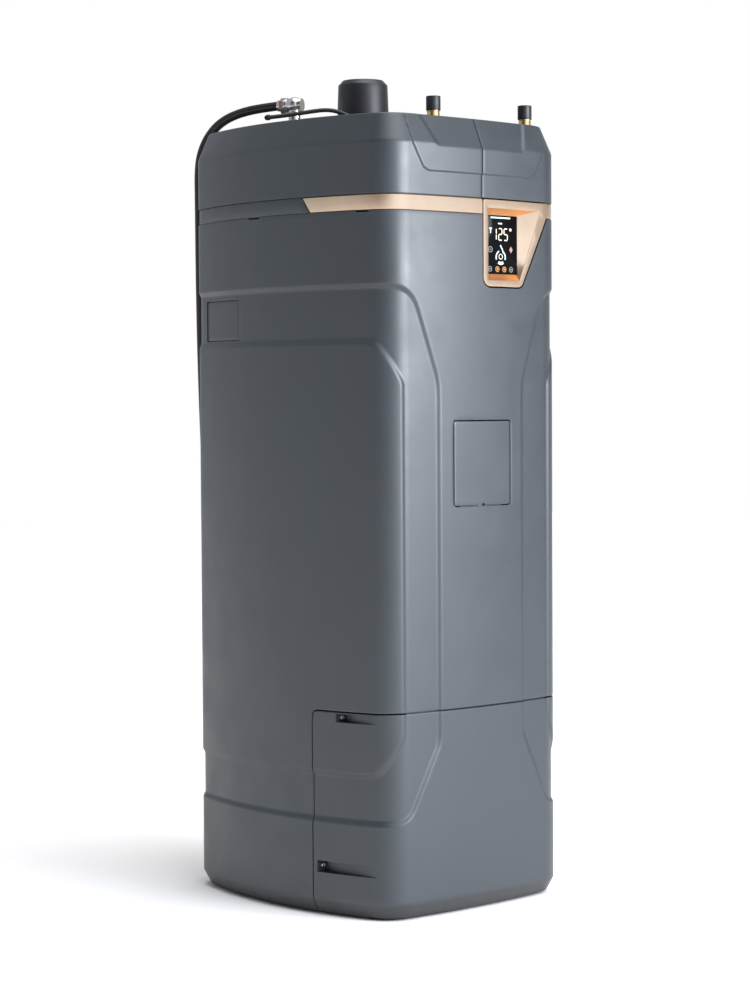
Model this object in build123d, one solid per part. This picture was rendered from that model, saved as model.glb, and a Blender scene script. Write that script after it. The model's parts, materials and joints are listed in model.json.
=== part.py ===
"""Tall floor-standing electric storage water heater with a moulded casing.

Millimetres, +Z up, the front faces -Y. The origin is on the floor, under the middle of the casing.
The casing is one bowed, round-cornered plan carried up the full height; every shell is that plan
moved inwards. Inside are the insulated tank on a deck and posts, two elements, and, behind the
removable lower cover, a circulation pump, a plate heat exchanger and the tank's drain valve.
"""
import os
from math import hypot, pi, radians, tan

from build123d import *

os.makedirs("parts", exist_ok=True)

# --- casing -------------------------------------------------------------------------------------
HEIGHT = 1650.0          # floor to the roof of the casing
HALF_W = 306.0           # half the width across the bowed sides
HALF_D = 334.5           # half the depth across the bowed front and rear
FRONT_R = 1815.0         # bow of the front and rear
SIDE_R = 860.0           # bow of the sides
CORNER_R = 79.0
WALL = 5.0
CHANNEL = 4.5            # depth of the recessed channel round each side panel
CASE_Z0 = 6.0            # underside of the casing
FOOT_UP = 28.0           # chamfer round the foot
FOOT_IN = 15.0
BAND_Z0, BAND_Z1 = 1451.0, 1484.0
ROOF_UP = 59.0           # chamfer round the roof
ROOF_IN = 24.9
SEAM = 2.5               # gap between neighbouring covers
VISOR = 3.0              # how far the visor stands out of the top cover
LAP = CHANNEL + WALL + 0.2   # inset of a panel seated behind the skin's deepest inner face
LAP_WALL = 2.5
TONGUE = (10.3, 12.3)    # insets of the jacket's tongue behind the lower cover's upper edge
TONGUE_X, TONGUE_Z = 205.0, (416.0, 432.0, 440.0)
PORT_Y, PORT_Z = (103.0, 248.0), (1195.0, 1282.0)   # window for the blanking plate on each side
PORT_LIP = 7.0
REAR_OPENING_X, REAR_OPENING_Z = 180.0, (66.0, 1396.0)
REAR_LAP = 14.0          # overlap of the rear panel round its opening in x
RIB_X, RIB_Z = 110.0, (120.0, 1340.0)

# --- channel and raised side panel, front view, right half: (x, z) ------------------------------
CHANNEL_X, PANEL_X = 116.5, 218.0
CHANNEL_Z = (196.0, 1303.0)
PANEL_Z = (303.0, 1181.0)

# --- lower service cover ------------------------------------------------------------------------
COVER_TOP = 425.5
COVER_REAR = -128.5
LINER = 2.5
SCREW_R, SCREW_HEAD_R, SCREW_HEAD_H, SCREW_LONG = 2.5, 5.6, 3.6, 18.0
# name: screw x, seat y, screw z, pocket z range, pocket floor x at the rear and at the front
POCKETS = {
    "upper": (268.0, -188.5, 414.0, (405.0, 422.5), (261.0, 258.0)),
    "lower": (279.0, -139.0, 103.0, (90.5, 115.0), (271.0, 257.0)),
}
POCKET_MOUTH = -284.0

# --- access hatch -------------------------------------------------------------------------------
HATCH_X = 81.5
HATCH_Z = (847.0, 1022.0)
HATCH_GAP = 2.0
HINGE_Y, HINGE_Z, HINGE_R = -330.2, 1018.2, 1.5

# --- display ------------------------------------------------------------------------------------
BEZEL = [(4.0, 1302.0), (120.5, 1302.0), (204.0, BAND_Z0), (204.0, BAND_Z1), (4.0, BAND_Z1)]
RIM = [(18.5, 1315.5), (114.0, 1315.5), (184.0, 1465.0), (18.5, 1465.0)]
SCREEN_X, SCREEN_Z, SCREEN_Y = (21.0, 118.0), (1329.0, 1452.0), -320.0

# --- tank and frame -----------------------------------------------------------------------------
TANK_Y, TANK_R, TANK_WALL = 45.0, 231.0, 4.0
TANK_Z = (466.0, 1576.0)
INSULATION_R = 255.0
DECK_Z = (436.0, 442.0)
POST, POST_WALL = 30.0, 2.0
FRONT_POST, REAR_POST = (237.0, -145.0), (168.0, 293.5)
ELEMENT_X, ELEMENT_Z = 26.0, (590.0, 893.0)

# --- roof fittings ------------------------------------------------------------------------------
NECK = (0.0, 31.0)
NECK_R, CAP_R = 44.0, 57.0
CAP_Z = (1651.0, 1750.0, 1760.4, 1763.0)   # base, shoulder, edge of the crown, top
COLD, HOT = (235.0, -230.0), (-38.5, -230.0)
NIPPLE_R, NIPPLE_BORE, NIPPLE_TOP = 13.35, 10.4, 1697.0
PIPE_R, PIPE_BORE = 11.0, 9.8
ELBOW = (-100.4, 143.1)
ELBOW_Z, ELBOW_R = 1711.0, 17.5
DROP = (-202.0, 350.0)   # where the power whip hangs down behind the casing
# distances from the elbow's axis: dome cover, outlet, and the nut's collar, hexagon and ring
DOME, OUTLET, COLLAR, HEXAGON, NUT_END = -18.5, 8.0, 15.0, 21.0, (31.0, 38.0)
BARB = (-78.0, -30.5)
WHIP_D, HOSE_D = 20.0, 9.0

# --- lower compartment --------------------------------------------------------------------------
PUMP = (120.0, 45.0)
PUMP_Z = (300.0, 336.0)
PUMP_R, MOTOR_R, SHAFT_R = 48.0, 42.0, 5.0
EXCHANGER = (-150.0, 20.0)
EXCHANGER_SIZE = (110.0, 90.0, 270.0)
EXCHANGER_Z0 = 60.0
DRAIN = (70.0, -212.0, 200.0)
BALL_R, STEM_R, RUNNING = 12.0, 4.0, 0.06


def save(name, shape):
    shape.label = name
    export_step(shape, f"parts/{name}.step")


def prism(sketch, z0, z1):
    return extrude(Pos(0, 0, z0) * sketch, z1 - z0)


def span(x0, x1, y0, y1, z0, z1):
    return Pos((x0 + x1) / 2, (y0 + y1) / 2, (z0 + z1) / 2) * Box(x1 - x0, y1 - y0, z1 - z0)


def rod(x, y, z0, z1, r):
    return Pos(x, y, (z0 + z1) / 2) * Cylinder(r, z1 - z0)


def cone(x, y, z0, z1, r0, r1):
    return Pos(x, y, (z0 + z1) / 2) * Cone(r0, r1, z1 - z0)


def rod_y(x, z, y0, y1, r):
    return Pos(x, (y0 + y1) / 2, z) * Rot(90, 0, 0) * Cylinder(r, y1 - y0)


def rod_x(y, z, x0, x1, r):
    return Pos((x0 + x1) / 2, y, z) * Rot(0, 90, 0) * Cylinder(r, x1 - x0)


def rounded(points, radii):
    """Closed polygon with its corners rounded, one radius for each, 0 for sharp."""
    face = make_face(Polyline(*points, close=True))
    for point, radius in zip(points, radii):
        if radius:
            face = fillet(face.vertices().sort_by_distance(Vector(*point))[0], radius)
    return face


def front_prism(face, y0=-400.0, y1=0.0):
    """A face drawn in front view (x, z), extruded from y0 to y1."""
    return extrude(Pos(0, y1, 0) * (Plane.XZ * face), y1 - y0)


def side_prism(points, x0=-400.0, x1=400.0):
    """A polygon drawn in side view (y, z), extruded from x0 to x1."""
    return extrude(Pos(x0, 0, 0) * (Plane.YZ * make_face(Polyline(*points, close=True))), x1 - x0)


def both_sides(shape):
    return shape + mirror(shape, Plane.YZ)


def tube(points, radius, bend, bore=0.0):
    """Round pipe along straight runs joined by tangent bends."""
    path = FilletPolyline(*points, radius=bend) if len(points) > 2 else Line(*points)
    start = Plane(origin=path @ 0, z_dir=path % 0)
    section = start * Circle(radius)
    if bore:
        section -= start * Circle(bore)
    return sweep(section, path=path)


# --- casing shells --------------------------------------------------------------------------------
def plan(inset=0.0):
    """Bowed, round-cornered outline of the casing, moved inwards by inset."""
    outline = Circle(FRONT_R - inset).locate(Location((0, FRONT_R - HALF_D)))
    outline &= Circle(FRONT_R - inset).locate(Location((0, HALF_D - FRONT_R)))
    outline &= Circle(SIDE_R - inset).locate(Location((SIDE_R - HALF_W, 0)))
    outline &= Circle(SIDE_R - inset).locate(Location((HALF_W - SIDE_R, 0)))
    return fillet(outline.vertices(), CORNER_R - inset)


def block(inset, z0, z1):
    return prism(plan(inset), z0, z1)


def sloped(inset0, z0, inset1, z1):
    return loft([Pos(0, 0, z0) * plan(inset0), Pos(0, 0, z1) * plan(inset1)], ruled=True)


def ring(inset0, inset1, z0, z1):
    return block(inset0, z0, z1) - block(inset1, z0, z1)


def channel_zone(grow=0.0):
    """Space of the recessed channel: down the front corners and along the sides."""
    outer = rounded([(CHANNEL_X, 361), (202, CHANNEL_Z[0]), (420, CHANNEL_Z[0]),
                     (420, CHANNEL_Z[1]), (188, CHANNEL_Z[1]), (CHANNEL_X, 1104)],
                    [70, 55, 0, 0, 32, 100])
    panel = rounded([(PANEL_X, 378), (262, PANEL_Z[0]), (440, PANEL_Z[0]),
                     (440, PANEL_Z[1]), (262, PANEL_Z[1]), (PANEL_X, 1100)],
                    [40, 12, 0, 0, 10, 25])
    if grow:
        outer, panel = offset(outer, grow), offset(panel, -grow)
    zone = both_sides(front_prism(outer - panel))
    for z0, z1 in ((CHANNEL_Z[0], PANEL_Z[0]), (PANEL_Z[1], CHANNEL_Z[1])):
        zone += span(-420, 420, -0.5, 400, z0 - grow, z1 + grow)
    return zone


def casing_skin():
    """The whole moulded skin below the band, before it is parted into jacket and lower cover."""
    top_of_foot = CASE_Z0 + FOOT_UP
    deep = CHANNEL + WALL
    raised = ring(0, WALL, top_of_foot, BAND_Z0)
    sunk = ring(CHANNEL, deep, top_of_foot, BAND_Z0)
    full = ring(0, deep, top_of_foot, BAND_Z0)
    zone, wide_zone = channel_zone(), channel_zone(WALL)
    skin = (raised - zone) + (sunk & zone) + (full & (wide_zone - zone))
    foot = sloped(FOOT_IN, CASE_Z0, 0, top_of_foot)
    foot -= sloped(FOOT_IN + WALL, CASE_Z0, WALL, top_of_foot)
    return skin + foot


def cover_zone(gap=0.0):
    """Space of the lower service cover, which wraps the front and both sides."""
    face = rounded([(-420, -10), (COVER_REAR + gap, -10), (COVER_REAR + gap, COVER_TOP + gap),
                    (-420, COVER_TOP + gap)], [0, 0, 12, 0])
    return extrude(Pos(-420, 0, 0) * (Plane.YZ * face), 840)


def bezel_outline():
    return rounded(BEZEL, [14, 12, 0, 0, 3])


def main_jacket(skin):
    jacket = skin - cover_zone(SEAM)
    tip, root, top = TONGUE_Z
    tongue = ring(*TONGUE, tip, top) + ring(CHANNEL + 0.2, TONGUE[1], root, top)
    jacket += tongue & span(-TONGUE_X, TONGUE_X, -400, -200, tip, top)
    gap = HATCH_GAP
    hatch = rounded([(-HATCH_X - gap, HATCH_Z[0] - gap), (HATCH_X + gap, HATCH_Z[0] - gap),
                     (HATCH_X + gap, HATCH_Z[1] + gap), (-HATCH_X - gap, HATCH_Z[1] + gap)],
                    [8, 8, 4, 4])
    jacket -= front_prism(hatch, -400, -200)
    jacket -= rod_x(HINGE_Y, HINGE_Z, -HATCH_X - 6.5, HATCH_X + 6.5, HINGE_R + RUNNING)
    jacket -= front_prism(offset(bezel_outline(), 1.5), -400, -200)
    for side in (-1, 1):
        jacket -= port_zone(side, 0.0)
    opening = span(-REAR_OPENING_X, REAR_OPENING_X, 200, 400, *REAR_OPENING_Z)
    return jacket - opening


def pocket_outline(name, margin):
    _, seat, _, _, (floor_rear, floor_front) = POCKETS[name]
    return make_face(Polyline((floor_front - margin, POCKET_MOUTH - margin),
                              (floor_rear - margin, seat + margin), (340, seat + margin),
                              (340, POCKET_MOUTH - margin), close=True))


def lower_service_cover(skin):
    cover = skin & cover_zone()
    for name, (screw_x, seat, screw_z, (z0, z1), _) in POCKETS.items():
        liner = prism(pocket_outline(name, LINER), z0 - LINER, z1 + LINER) & block(1, z0 - 9, z1 + 9)
        void = prism(pocket_outline(name, 0), z0, z1)
        hole = rod_y(screw_x, screw_z, seat - 1, seat + LINER + 1, SCREW_R + 0.4)
        cover = (cover + both_sides(liner)) - both_sides(void + hole)
    return cover


def cover_screw(x, seat, z):
    head = rod_y(x, z, seat - SCREW_HEAD_H, seat - 0.1, SCREW_HEAD_R)
    head = fillet(head.edges().group_by(Axis.Y)[0], 1.6)
    for angle in (0, 90):
        head -= Pos(x, seat - SCREW_HEAD_H, z) * Rot(0, angle, 0) * Box(6.2, 3.6, 1.1)
    return head + rod_y(x, z, seat - 1, seat + SCREW_LONG, SCREW_R)


def port_zone(side, margin):
    """Space of the window in the channel's upper band, grown by margin."""
    (y0, y1), (z0, z1) = PORT_Y, PORT_Z
    return span(*sorted((side * 200, side * 400)), y0 - margin, y1 + margin,
                z0 - margin, z1 + margin)


def side_port_plate(side):
    """Plate that fills the window, held by a lip behind the jacket's wall."""
    z0, z1 = PORT_Z
    face = ring(CHANNEL + 1.5, LAP + 0.3, z0, z1) & port_zone(side, -1.5)
    lip = ring(LAP, LAP + LAP_WALL, z0 - PORT_LIP, z1 + PORT_LIP) & port_zone(side, PORT_LIP)
    return face + lip


def rear_panel():
    """Removable rear panel, seated behind the jacket's rear opening, with wall-spacing ribs."""
    half = REAR_OPENING_X + REAR_LAP
    z0, z1 = REAR_OPENING_Z[0] - 12, REAR_OPENING_Z[1] + 12
    panel = ring(LAP, LAP + LAP_WALL, z0, z1) & span(-half, half, 200, 400, z0, z1)
    for x in (-RIB_X, RIB_X):
        rib = span(x - 5, x + 5, 300, HALF_D + 2.5, *RIB_Z)
        panel += rib - block(LAP + 1, z0, z1)
    for x, z in rear_screws():
        panel -= rod_y(x, z, 290, 340, SCREW_R + 0.4)
    return panel


def rear_screws():
    return [(side * REAR_POST[0], z) for side in (-1, 1) for z in (100, 500, 930, 1360)]


def rear_panel_screws():
    seat = HALF_D - REAR_POST[0] ** 2 / (2 * FRONT_R) - CHANNEL - WALL + 0.4
    screws = []
    for x, z in rear_screws():
        head = rod_y(x, z, seat, seat + SCREW_HEAD_H, SCREW_HEAD_R)
        head = fillet(head.edges().group_by(Axis.Y)[-1], 1.6)
        screws.append(head + rod_y(x, z, seat - SCREW_LONG, seat + 1, SCREW_R))
    return Compound(children=screws)


def top_block(inset):
    """Solid of the top cover with its roof chamfer, moved inwards by inset."""
    knee = HEIGHT - ROOF_UP
    roof = HEIGHT - max(inset, 0.0)
    return block(inset, BAND_Z1 + 1, knee) + sloped(inset, knee, inset + ROOF_IN, roof)


def visor_outline():
    outer = make_face(Polyline((-148, 1531), (148, 1531), (163, 1538), (191, 1588), (195, 1660),
                               (-195, 1660), (-191, 1588), (-163, 1538), close=True))
    inner = make_face(Polyline((-121, 1594), (121, 1594), (150, 1661), (-150, 1661), close=True))
    return outer - inner


def top_cover():
    shell = top_block(0) - top_block(WALL)
    visor = (top_block(-VISOR) - top_block(1)) & front_prism(visor_outline(), -400, -230)
    shell += visor & span(-400, 400, -400, 0, 1500, HEIGHT)
    shell -= rod(*NECK, 1600, 1700, NECK_R + 1.5)
    for x, y in (COLD, HOT):
        shell -= rod(x, y, 1600, 1700, 15)
    shell -= rod(*ELBOW, 1600, 1700, 11.2)
    shell -= rod(*BARB, 1600, 1700, 4.2)
    return shell


def band_end(side_of_seam):
    """Front zone of the copper band, with its slanted end on each side."""
    zone = side_prism([(-420, BAND_Z0 - 1), (-132, BAND_Z0 - 1), (-110, BAND_Z1 + 1),
                       (-420, BAND_Z1 + 1)])
    return zone & (span(-420, 2.2, -420, 0, 1400, 1500) if side_of_seam < 0 else
                   span(4, 420, -420, 0, 1400, 1500))


def trim_band():
    return ring(0.6, 4, BAND_Z0 + 1.2, BAND_Z1 - 1.2) & band_end(-1)


def rear_band():
    """Dark structural band between jacket and top cover; the copper trim clips over its front."""
    band = ring(4.3, 12, BAND_Z0, BAND_Z1 + 1)
    band += ring(2.2, 5, BAND_Z0 + 1.2, BAND_Z1 - 1.2) & side_prism(
        [(420, BAND_Z0 - 1), (-128, BAND_Z0 - 1), (-106, BAND_Z1 + 1), (420, BAND_Z1 + 1)])
    opening = offset(bezel_outline(), 1.5)
    return band - front_prism(opening, -400, -200)


def display_bezel():
    """Copper bezel: a flush rim, a cavity that narrows to the screen, and a bar round the corner."""
    body = ring(0, 22, BEZEL[0][1], BAND_Z1 - 1.2) & front_prism(bezel_outline(), -400, -200)
    x0, x1 = SCREEN_X
    z0, z1 = SCREEN_Z
    mouth = Plane.XZ * make_face(Polyline(*RIM, close=True))
    screen = Plane.XZ * make_face(Polyline((x0, z0), (x1, z0), (x1, z1), (x0, z1), close=True))
    cavity = loft([Pos(0, -334, 0) * mouth, Pos(0, SCREEN_Y, 0) * screen], ruled=True)
    cavity += extrude(Pos(0, -334, 0) * mouth, 12)
    cavity += extrude(Pos(0, SCREEN_Y + 30, 0) * screen, 30.5)
    bar = ring(0.6, 4, BAND_Z0 + 1.2, BAND_Z1 - 1.2) & band_end(1)
    return (body + bar) - cavity


def display_glass():
    x0, x1 = SCREEN_X
    z0, z1 = SCREEN_Z
    return span(x0 + 0.3, x1 - 0.3, SCREEN_Y + 0.5, SCREEN_Y + 3.5, z0 + 0.3, z1 - 0.3)


def display_housing():
    x0, x1 = SCREEN_X
    z0, z1 = SCREEN_Z
    outer = span(x0 - 6, x1 + 6, SCREEN_Y + 12.5, SCREEN_Y + 42, z0 - 6, z1 + 6)
    lip = span(x0 + 0.5, x1 - 0.5, SCREEN_Y + 4, SCREEN_Y + 13, z0 + 0.5, z1 - 0.5)
    return (outer + lip) - span(x0 + 3, x1 - 3, SCREEN_Y + 3, SCREEN_Y + 39, z0 + 3, z1 - 3)


def display_board():
    x0, x1 = SCREEN_X
    z0, z1 = SCREEN_Z
    board = span(x0 + 5, x1 - 5, SCREEN_Y + 12, SCREEN_Y + 13.6, z0 + 5, z1 - 5)
    for k in range(4):
        board += span(x0 + 12 + 18 * k, x0 + 24 + 18 * k, SCREEN_Y + 13, SCREEN_Y + 17,
                      z0 + 20, z0 + 32)
    return board + span(50, 86, SCREEN_Y + 13, SCREEN_Y + 20, 1400, 1426)


# --- access hatch ---------------------------------------------------------------------------------
def access_cover():
    outline = rounded([(-HATCH_X, HATCH_Z[0]), (HATCH_X, HATCH_Z[0]), (HATCH_X, HATCH_Z[1]),
                       (-HATCH_X, HATCH_Z[1])], [7, 7, 3, 3])
    leaf = ring(0, 3.5, HATCH_Z[0], HATCH_Z[1]) & front_prism(outline, -400, -200)
    leaf -= rod_y(0, HATCH_Z[0] - 1.5, -345, -320, 6)
    for side in (-1, 1):
        ends = sorted((side * (HATCH_X - 8), side * (HATCH_X + 5.5)))
        leaf += rod_x(HINGE_Y, HINGE_Z, *ends, HINGE_R)
    return leaf


def access_frame():
    """Duct from the hatch opening back to the elements, with a flange and a lower stop."""
    z0, z1 = HATCH_Z
    duct = span(-88, 88, -326, -246, z0 - 4, z1 + 4) - span(-86, 86, -330, -240, z0 - 2, z1 + 2)
    flange = span(-98, 98, -326, -324, z0 - 14, z1 + 14) - span(-86, 86, -330, -320, z0 - 2, z1 + 2)
    stop = span(-60, 60, -330, -325, z0 - 3, z0 + 4) - block(0, 0, 1000)
    ledge = span(-60, 60, -326, -320, z0 - 3, z0 + 4)
    return duct + flange + stop + ledge


# --- base, posts and deck -------------------------------------------------------------------------
def base_pan():
    pan = block(23, 10, 14) + ring(23, 25, 10, 44)
    for side in (-1, 1):
        x, y = side * REAR_POST[0], REAR_POST[1]
        pan -= span(x - POST / 2 - 1, x + POST / 2 + 1, y - POST / 2 - 1, 400, 14, 50)
    return pan


def foot_pads():
    pads = [rod(sx * 215, sy * 235, 0, 10, 24) for sx in (-1, 1) for sy in (-1, 1)]
    return Compound(children=[chamfer(p.edges().group_by(Axis.Z)[0], 2) for p in pads])


def box_post(x, y, z0, z1):
    inner = POST / 2 - POST_WALL
    outer = span(x - POST / 2, x + POST / 2, y - POST / 2, y + POST / 2, z0, z1)
    return outer - span(x - inner, x + inner, y - inner, y + inner, z0, z1)


def frame_post_front(side):
    """Front post with the two tabs that the lower cover's screws enter."""
    x, y = FRONT_POST
    post = box_post(x, y, 14, 1440)
    for screw_x, seat, screw_z, _, _ in POCKETS.values():
        front = seat + LINER + 0.8
        edge = screw_x + 8
        post += span(x - POST / 2, edge, front, front + 3, screw_z - 14, screw_z + 9)
        if front + 3 < y - POST / 2:
            post += span(x + 12, x + 15, front, y - POST / 2 + 1, screw_z - 14, screw_z + 9)
        post -= rod_y(screw_x, screw_z, front - 1, front + 18, SCREW_R + 0.4)
    return post if side > 0 else mirror(post, Plane.YZ)


def frame_posts_rear():
    """Pair of full-height rear posts that the rear panel is screwed to."""
    posts = []
    for side in (-1, 1):
        post = box_post(side * REAR_POST[0], REAR_POST[1], 14, 1440)
        for x, z in rear_screws():
            if x * side > 0:
                post -= rod_y(x, z, REAR_POST[1], REAR_POST[1] + 20, SCREW_R)
        posts.append(post)
    return Compound(children=posts)


def tank_deck():
    deck = block(34, *DECK_Z) & span(-400, 400, -205, 262, 400, 500)
    for side in (-1, 1):
        x, y = side * FRONT_POST[0], FRONT_POST[1]
        deck -= span(x - 15.5, x + 15.5, y - 15.5, y + 15.5, 430, 450)
    for x, y in tank_ports():
        deck -= rod(x, y, 430, 450, 20)
    return deck


# --- tank -----------------------------------------------------------------------------------------
def tank_ports():
    """Bottom ports: pump supply, exchanger return and drain."""
    return [PUMP, (-20.0, 35.0), (DRAIN[0], -110.0)]


def storage_tank():
    tank = rod(0, TANK_Y, *TANK_Z, TANK_R)
    tank = fillet(tank.edges().filter_by(GeomType.CIRCLE), 60)
    hollow = rod(0, TANK_Y, TANK_Z[0] + TANK_WALL, TANK_Z[1] - TANK_WALL, TANK_R - TANK_WALL)
    tank -= fillet(hollow.edges().filter_by(GeomType.CIRCLE), 60 - TANK_WALL)
    front = TANK_Y - TANK_R
    for z in ELEMENT_Z:
        tank += rod_y(ELEMENT_X, z, front - 8, front + 6, 24)
        tank -= rod_y(ELEMENT_X, z, front - 20, front + 30, 16.8)
    for x, y in tank_ports():
        tank -= rod(x, y, TANK_Z[0] - 10, TANK_Z[0] + 10, PIPE_R)
    return tank - rod(*NECK, TANK_Z[1] - 20, TANK_Z[1] + 20, NECK_R - 4)


def tank_insulation():
    foam = rod(0, TANK_Y, DECK_Z[1], TANK_Z[1] + 24, INSULATION_R)
    foam = chamfer(foam.edges().group_by(Axis.Z)[-1], 14)
    core = rod(0, TANK_Y, TANK_Z[0] - 0.5, TANK_Z[1] + 0.5, TANK_R + 0.5)
    foam -= fillet(core.edges().filter_by(GeomType.CIRCLE), 60)
    for z in ELEMENT_Z:
        foam -= rod_y(ELEMENT_X, z, -260, TANK_Y - TANK_R + 60, 36)
    foam -= span(-8, 60, -260, -160, 900, 1004)
    for x, y in tank_ports():
        foam -= rod(x, y, 430, 500, 16)
    return foam - rod(*NECK, 1540, 1640, NECK_R + 1)


def filler_neck():
    """Large neck from the tank's crown up through the roof; the cap pushes over it."""
    neck = rod(*NECK, TANK_Z[1], 1704, NECK_R) - rod(*NECK, TANK_Z[1] - 1, 1710, NECK_R - 4)
    return neck - Pos(*NECK, 1688) * Torus(NECK_R - 1, 1.3)


def neck_seal():
    return Pos(*NECK, 1688) * Torus(NECK_R - 1, 1.25)


def fill_cap():
    """Tapered cap with a chamfered, slightly domed crown."""
    x, y = NECK
    base, skirt, edge, top = CAP_Z
    shoulder, crown = CAP_R - 3.4, CAP_R - 13.0
    dome_r = (crown ** 2 + (top - edge) ** 2) / (2 * (top - edge))
    cap = rod(x, y, base, base + 4, CAP_R)
    cap += cone(x, y, base + 4, skirt, CAP_R, shoulder) + cone(x, y, skirt, edge, shoulder, crown)
    cap += Pos(x, y, top - dome_r) * Sphere(dome_r) & rod(x, y, edge, top + 1, crown)
    cap -= rod(x, y, base - 1, 1734, NECK_R + 0.5)
    return cap - cone(x, y, 1734, 1752, NECK_R + 0.5, CAP_R - 22)


def heating_element(z):
    front = TANK_Y - TANK_R - 8
    head = rod_y(ELEMENT_X, z, front - 6, front, 30)
    hexagon = Pos(ELEMENT_X, front - 6, z) * (Plane.XZ * RegularPolygon(20, 6))
    head += extrude(hexagon, 11)
    head += rod_y(ELEMENT_X, z, front, front + 24, 16.6)
    for x in (-8, 8):
        head += rod_y(ELEMENT_X + x, z, front - 24, front - 16, 3)
    for x in (-11, 11):
        head += rod_y(ELEMENT_X + x, z, front + 20, 70, 4)
    bend = Pos(ELEMENT_X, 70, z) * Torus(11, 4)
    return head + (bend & span(-40, 80, 70, 120, z - 10, z + 10))


def high_limit_thermostat():
    body = span(ELEMENT_X - 22, ELEMENT_X + 30, -212, -187.5, 940, 1000)
    body = fillet(body.edges().filter_by(Axis.Y), 4)
    return body - rod_y(ELEMENT_X + 4, 985, -214, -203, 4.3)


def reset_button():
    button = rod_y(ELEMENT_X + 4, 985, -215, -205.5, 4.0)
    return fillet(button.edges().group_by(Axis.Y)[0], 0.8)


# --- water connections ----------------------------------------------------------------------------
def water_nipple(x, y):
    """Brass nipple through the roof, with a hexagon above it and a socket on the riser pipe."""
    body = rod(x, y, 1620, NIPPLE_TOP, NIPPLE_R)
    body += extrude(Pos(x, y, HEIGHT) * RegularPolygon(17.5, 6), 7)
    for k in range(9):
        z = NIPPLE_TOP - 3 - 3.2 * k
        body -= Pos(x, y, z) * Torus(NIPPLE_R + 0.35, 0.8)
    return body - rod(x, y, 1600, NIPPLE_TOP + 5, NIPPLE_BORE)


def nipple_cap(x, y):
    cap = rod(x, y, 1671, NIPPLE_TOP + 4, 15.2)
    cap = fillet(cap.edges().group_by(Axis.Z)[-1], 1.5)
    return cap - rod(x, y, 1660, NIPPLE_TOP + 0.6, NIPPLE_R + 0.4)


def cold_pipe():
    x, y = COLD
    hx_x, hx_y = EXCHANGER
    front = hx_y - EXCHANGER_SIZE[1] / 2
    return tube([(x, y, 1619.5), (x, y, 110), (hx_x, y, 110), (hx_x, front - 20, 110)],
                PIPE_R - 1, 32, PIPE_BORE - 1)


def hot_pipe():
    x, y = HOT
    hx_x, hx_y = EXCHANGER
    front = hx_y - EXCHANGER_SIZE[1] / 2
    return tube([(x, y, 1619.5), (x, y, 290), (hx_x, y, 290), (hx_x, front - 20, 290)],
                PIPE_R - 1, 32, PIPE_BORE - 1)


def plate_heat_exchanger():
    x, y = EXCHANGER
    w, d, h = EXCHANGER_SIZE
    z0 = EXCHANGER_Z0
    body = fillet(span(x - w / 2, x + w / 2, y - d / 2, y + d / 2, z0, z0 + h).edges()
                  .filter_by(Axis.Y), 14)
    plates = 14
    for k in range(1, plates):
        cut = y - d / 2 + 6 + k * (d - 12) / plates
        groove = span(x - w, x + w, cut - 1, cut + 1, z0 - 9, z0 + h + 9)
        body -= groove - span(x - w / 2 + 4, x + w / 2 - 4, cut - 2, cut + 2, z0 + 4, z0 + h - 4)
    for z in (110, 290):
        body += rod_y(x, z, y - d / 2 - 20, y - d / 2 + 1, 13)
    body += rod_x(5, 318, x + w / 2 - 1, x + w / 2 + 14, 12)
    body += rod_x(35, 84, x + w / 2 - 1, x + w / 2 + 14, 12)
    body += span(x - w / 2, x + w / 2, y - d / 2, y + d / 2, 14, 18)
    for side in (-1, 1):
        body += span(x + side * 44 - 2, x + side * 44 + 2, y - 20, y + 20, 14, z0 + 5)
    return body


def tank_supply_pipe():
    return rod(*PUMP, PUMP_Z[1], TANK_Z[0] + 4, PIPE_R) - rod(*PUMP, 300, 500, PIPE_BORE)


def pump_outlet_pipe():
    start = EXCHANGER[0] + EXCHANGER_SIZE[0] / 2 + 14
    return rod_x(5, 318, start, PUMP[0] - 36, PIPE_R) - rod_x(5, 318, start - 1, 200, PIPE_BORE)


def tank_return_pipe():
    start = EXCHANGER[0] + EXCHANGER_SIZE[0] / 2 + 14
    return tube([(start, 35, 84), (-20, 35, 84), (-20, 35, TANK_Z[0] + 4)], PIPE_R, 32, PIPE_BORE)


# --- pump -----------------------------------------------------------------------------------------
def pump_housing():
    x, y = PUMP
    z0, z1 = PUMP_Z
    body = rod(x, y, z0, z1, PUMP_R) + rod_x(5, 318, x - 40, x, 14) + rod(x, y, z1 - 1, z1 + 8, 16)
    body -= rod(x, y, z0 + 4, z1 - 4, PUMP_R - 5)
    body -= rod(x, y, z1 - 8, z1 + 20, PIPE_R)
    body -= rod_x(5, 318, x - 50, x - 10, PIPE_R)
    return body - rod(x, y, z0 - 5, z0 + 6, SHAFT_R + 0.5)


def pump_motor():
    x, y = PUMP
    z0 = PUMP_Z[0]
    motor = rod(x, y, z0 - 112, z0, MOTOR_R)
    motor = fillet(motor.edges().group_by(Axis.Z)[0], 6)
    for k in range(24):
        turn = Rot(0, 0, 15 * k)
        motor -= Pos(x, y, z0 - 56) * turn * Pos(MOTOR_R, 0, 0) * Box(5, 3, 74)
    motor += span(x - 26, x + 26, y - 62, y - 36, z0 - 92, z0 - 30)
    motor -= rod(x, y, z0 - 60, z0 + 1, SHAFT_R + RUNNING)
    stand = rod(x, y, 14, z0 - 111, 14) + rod(x, y, 14, 20, 40)
    return motor + stand


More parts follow.
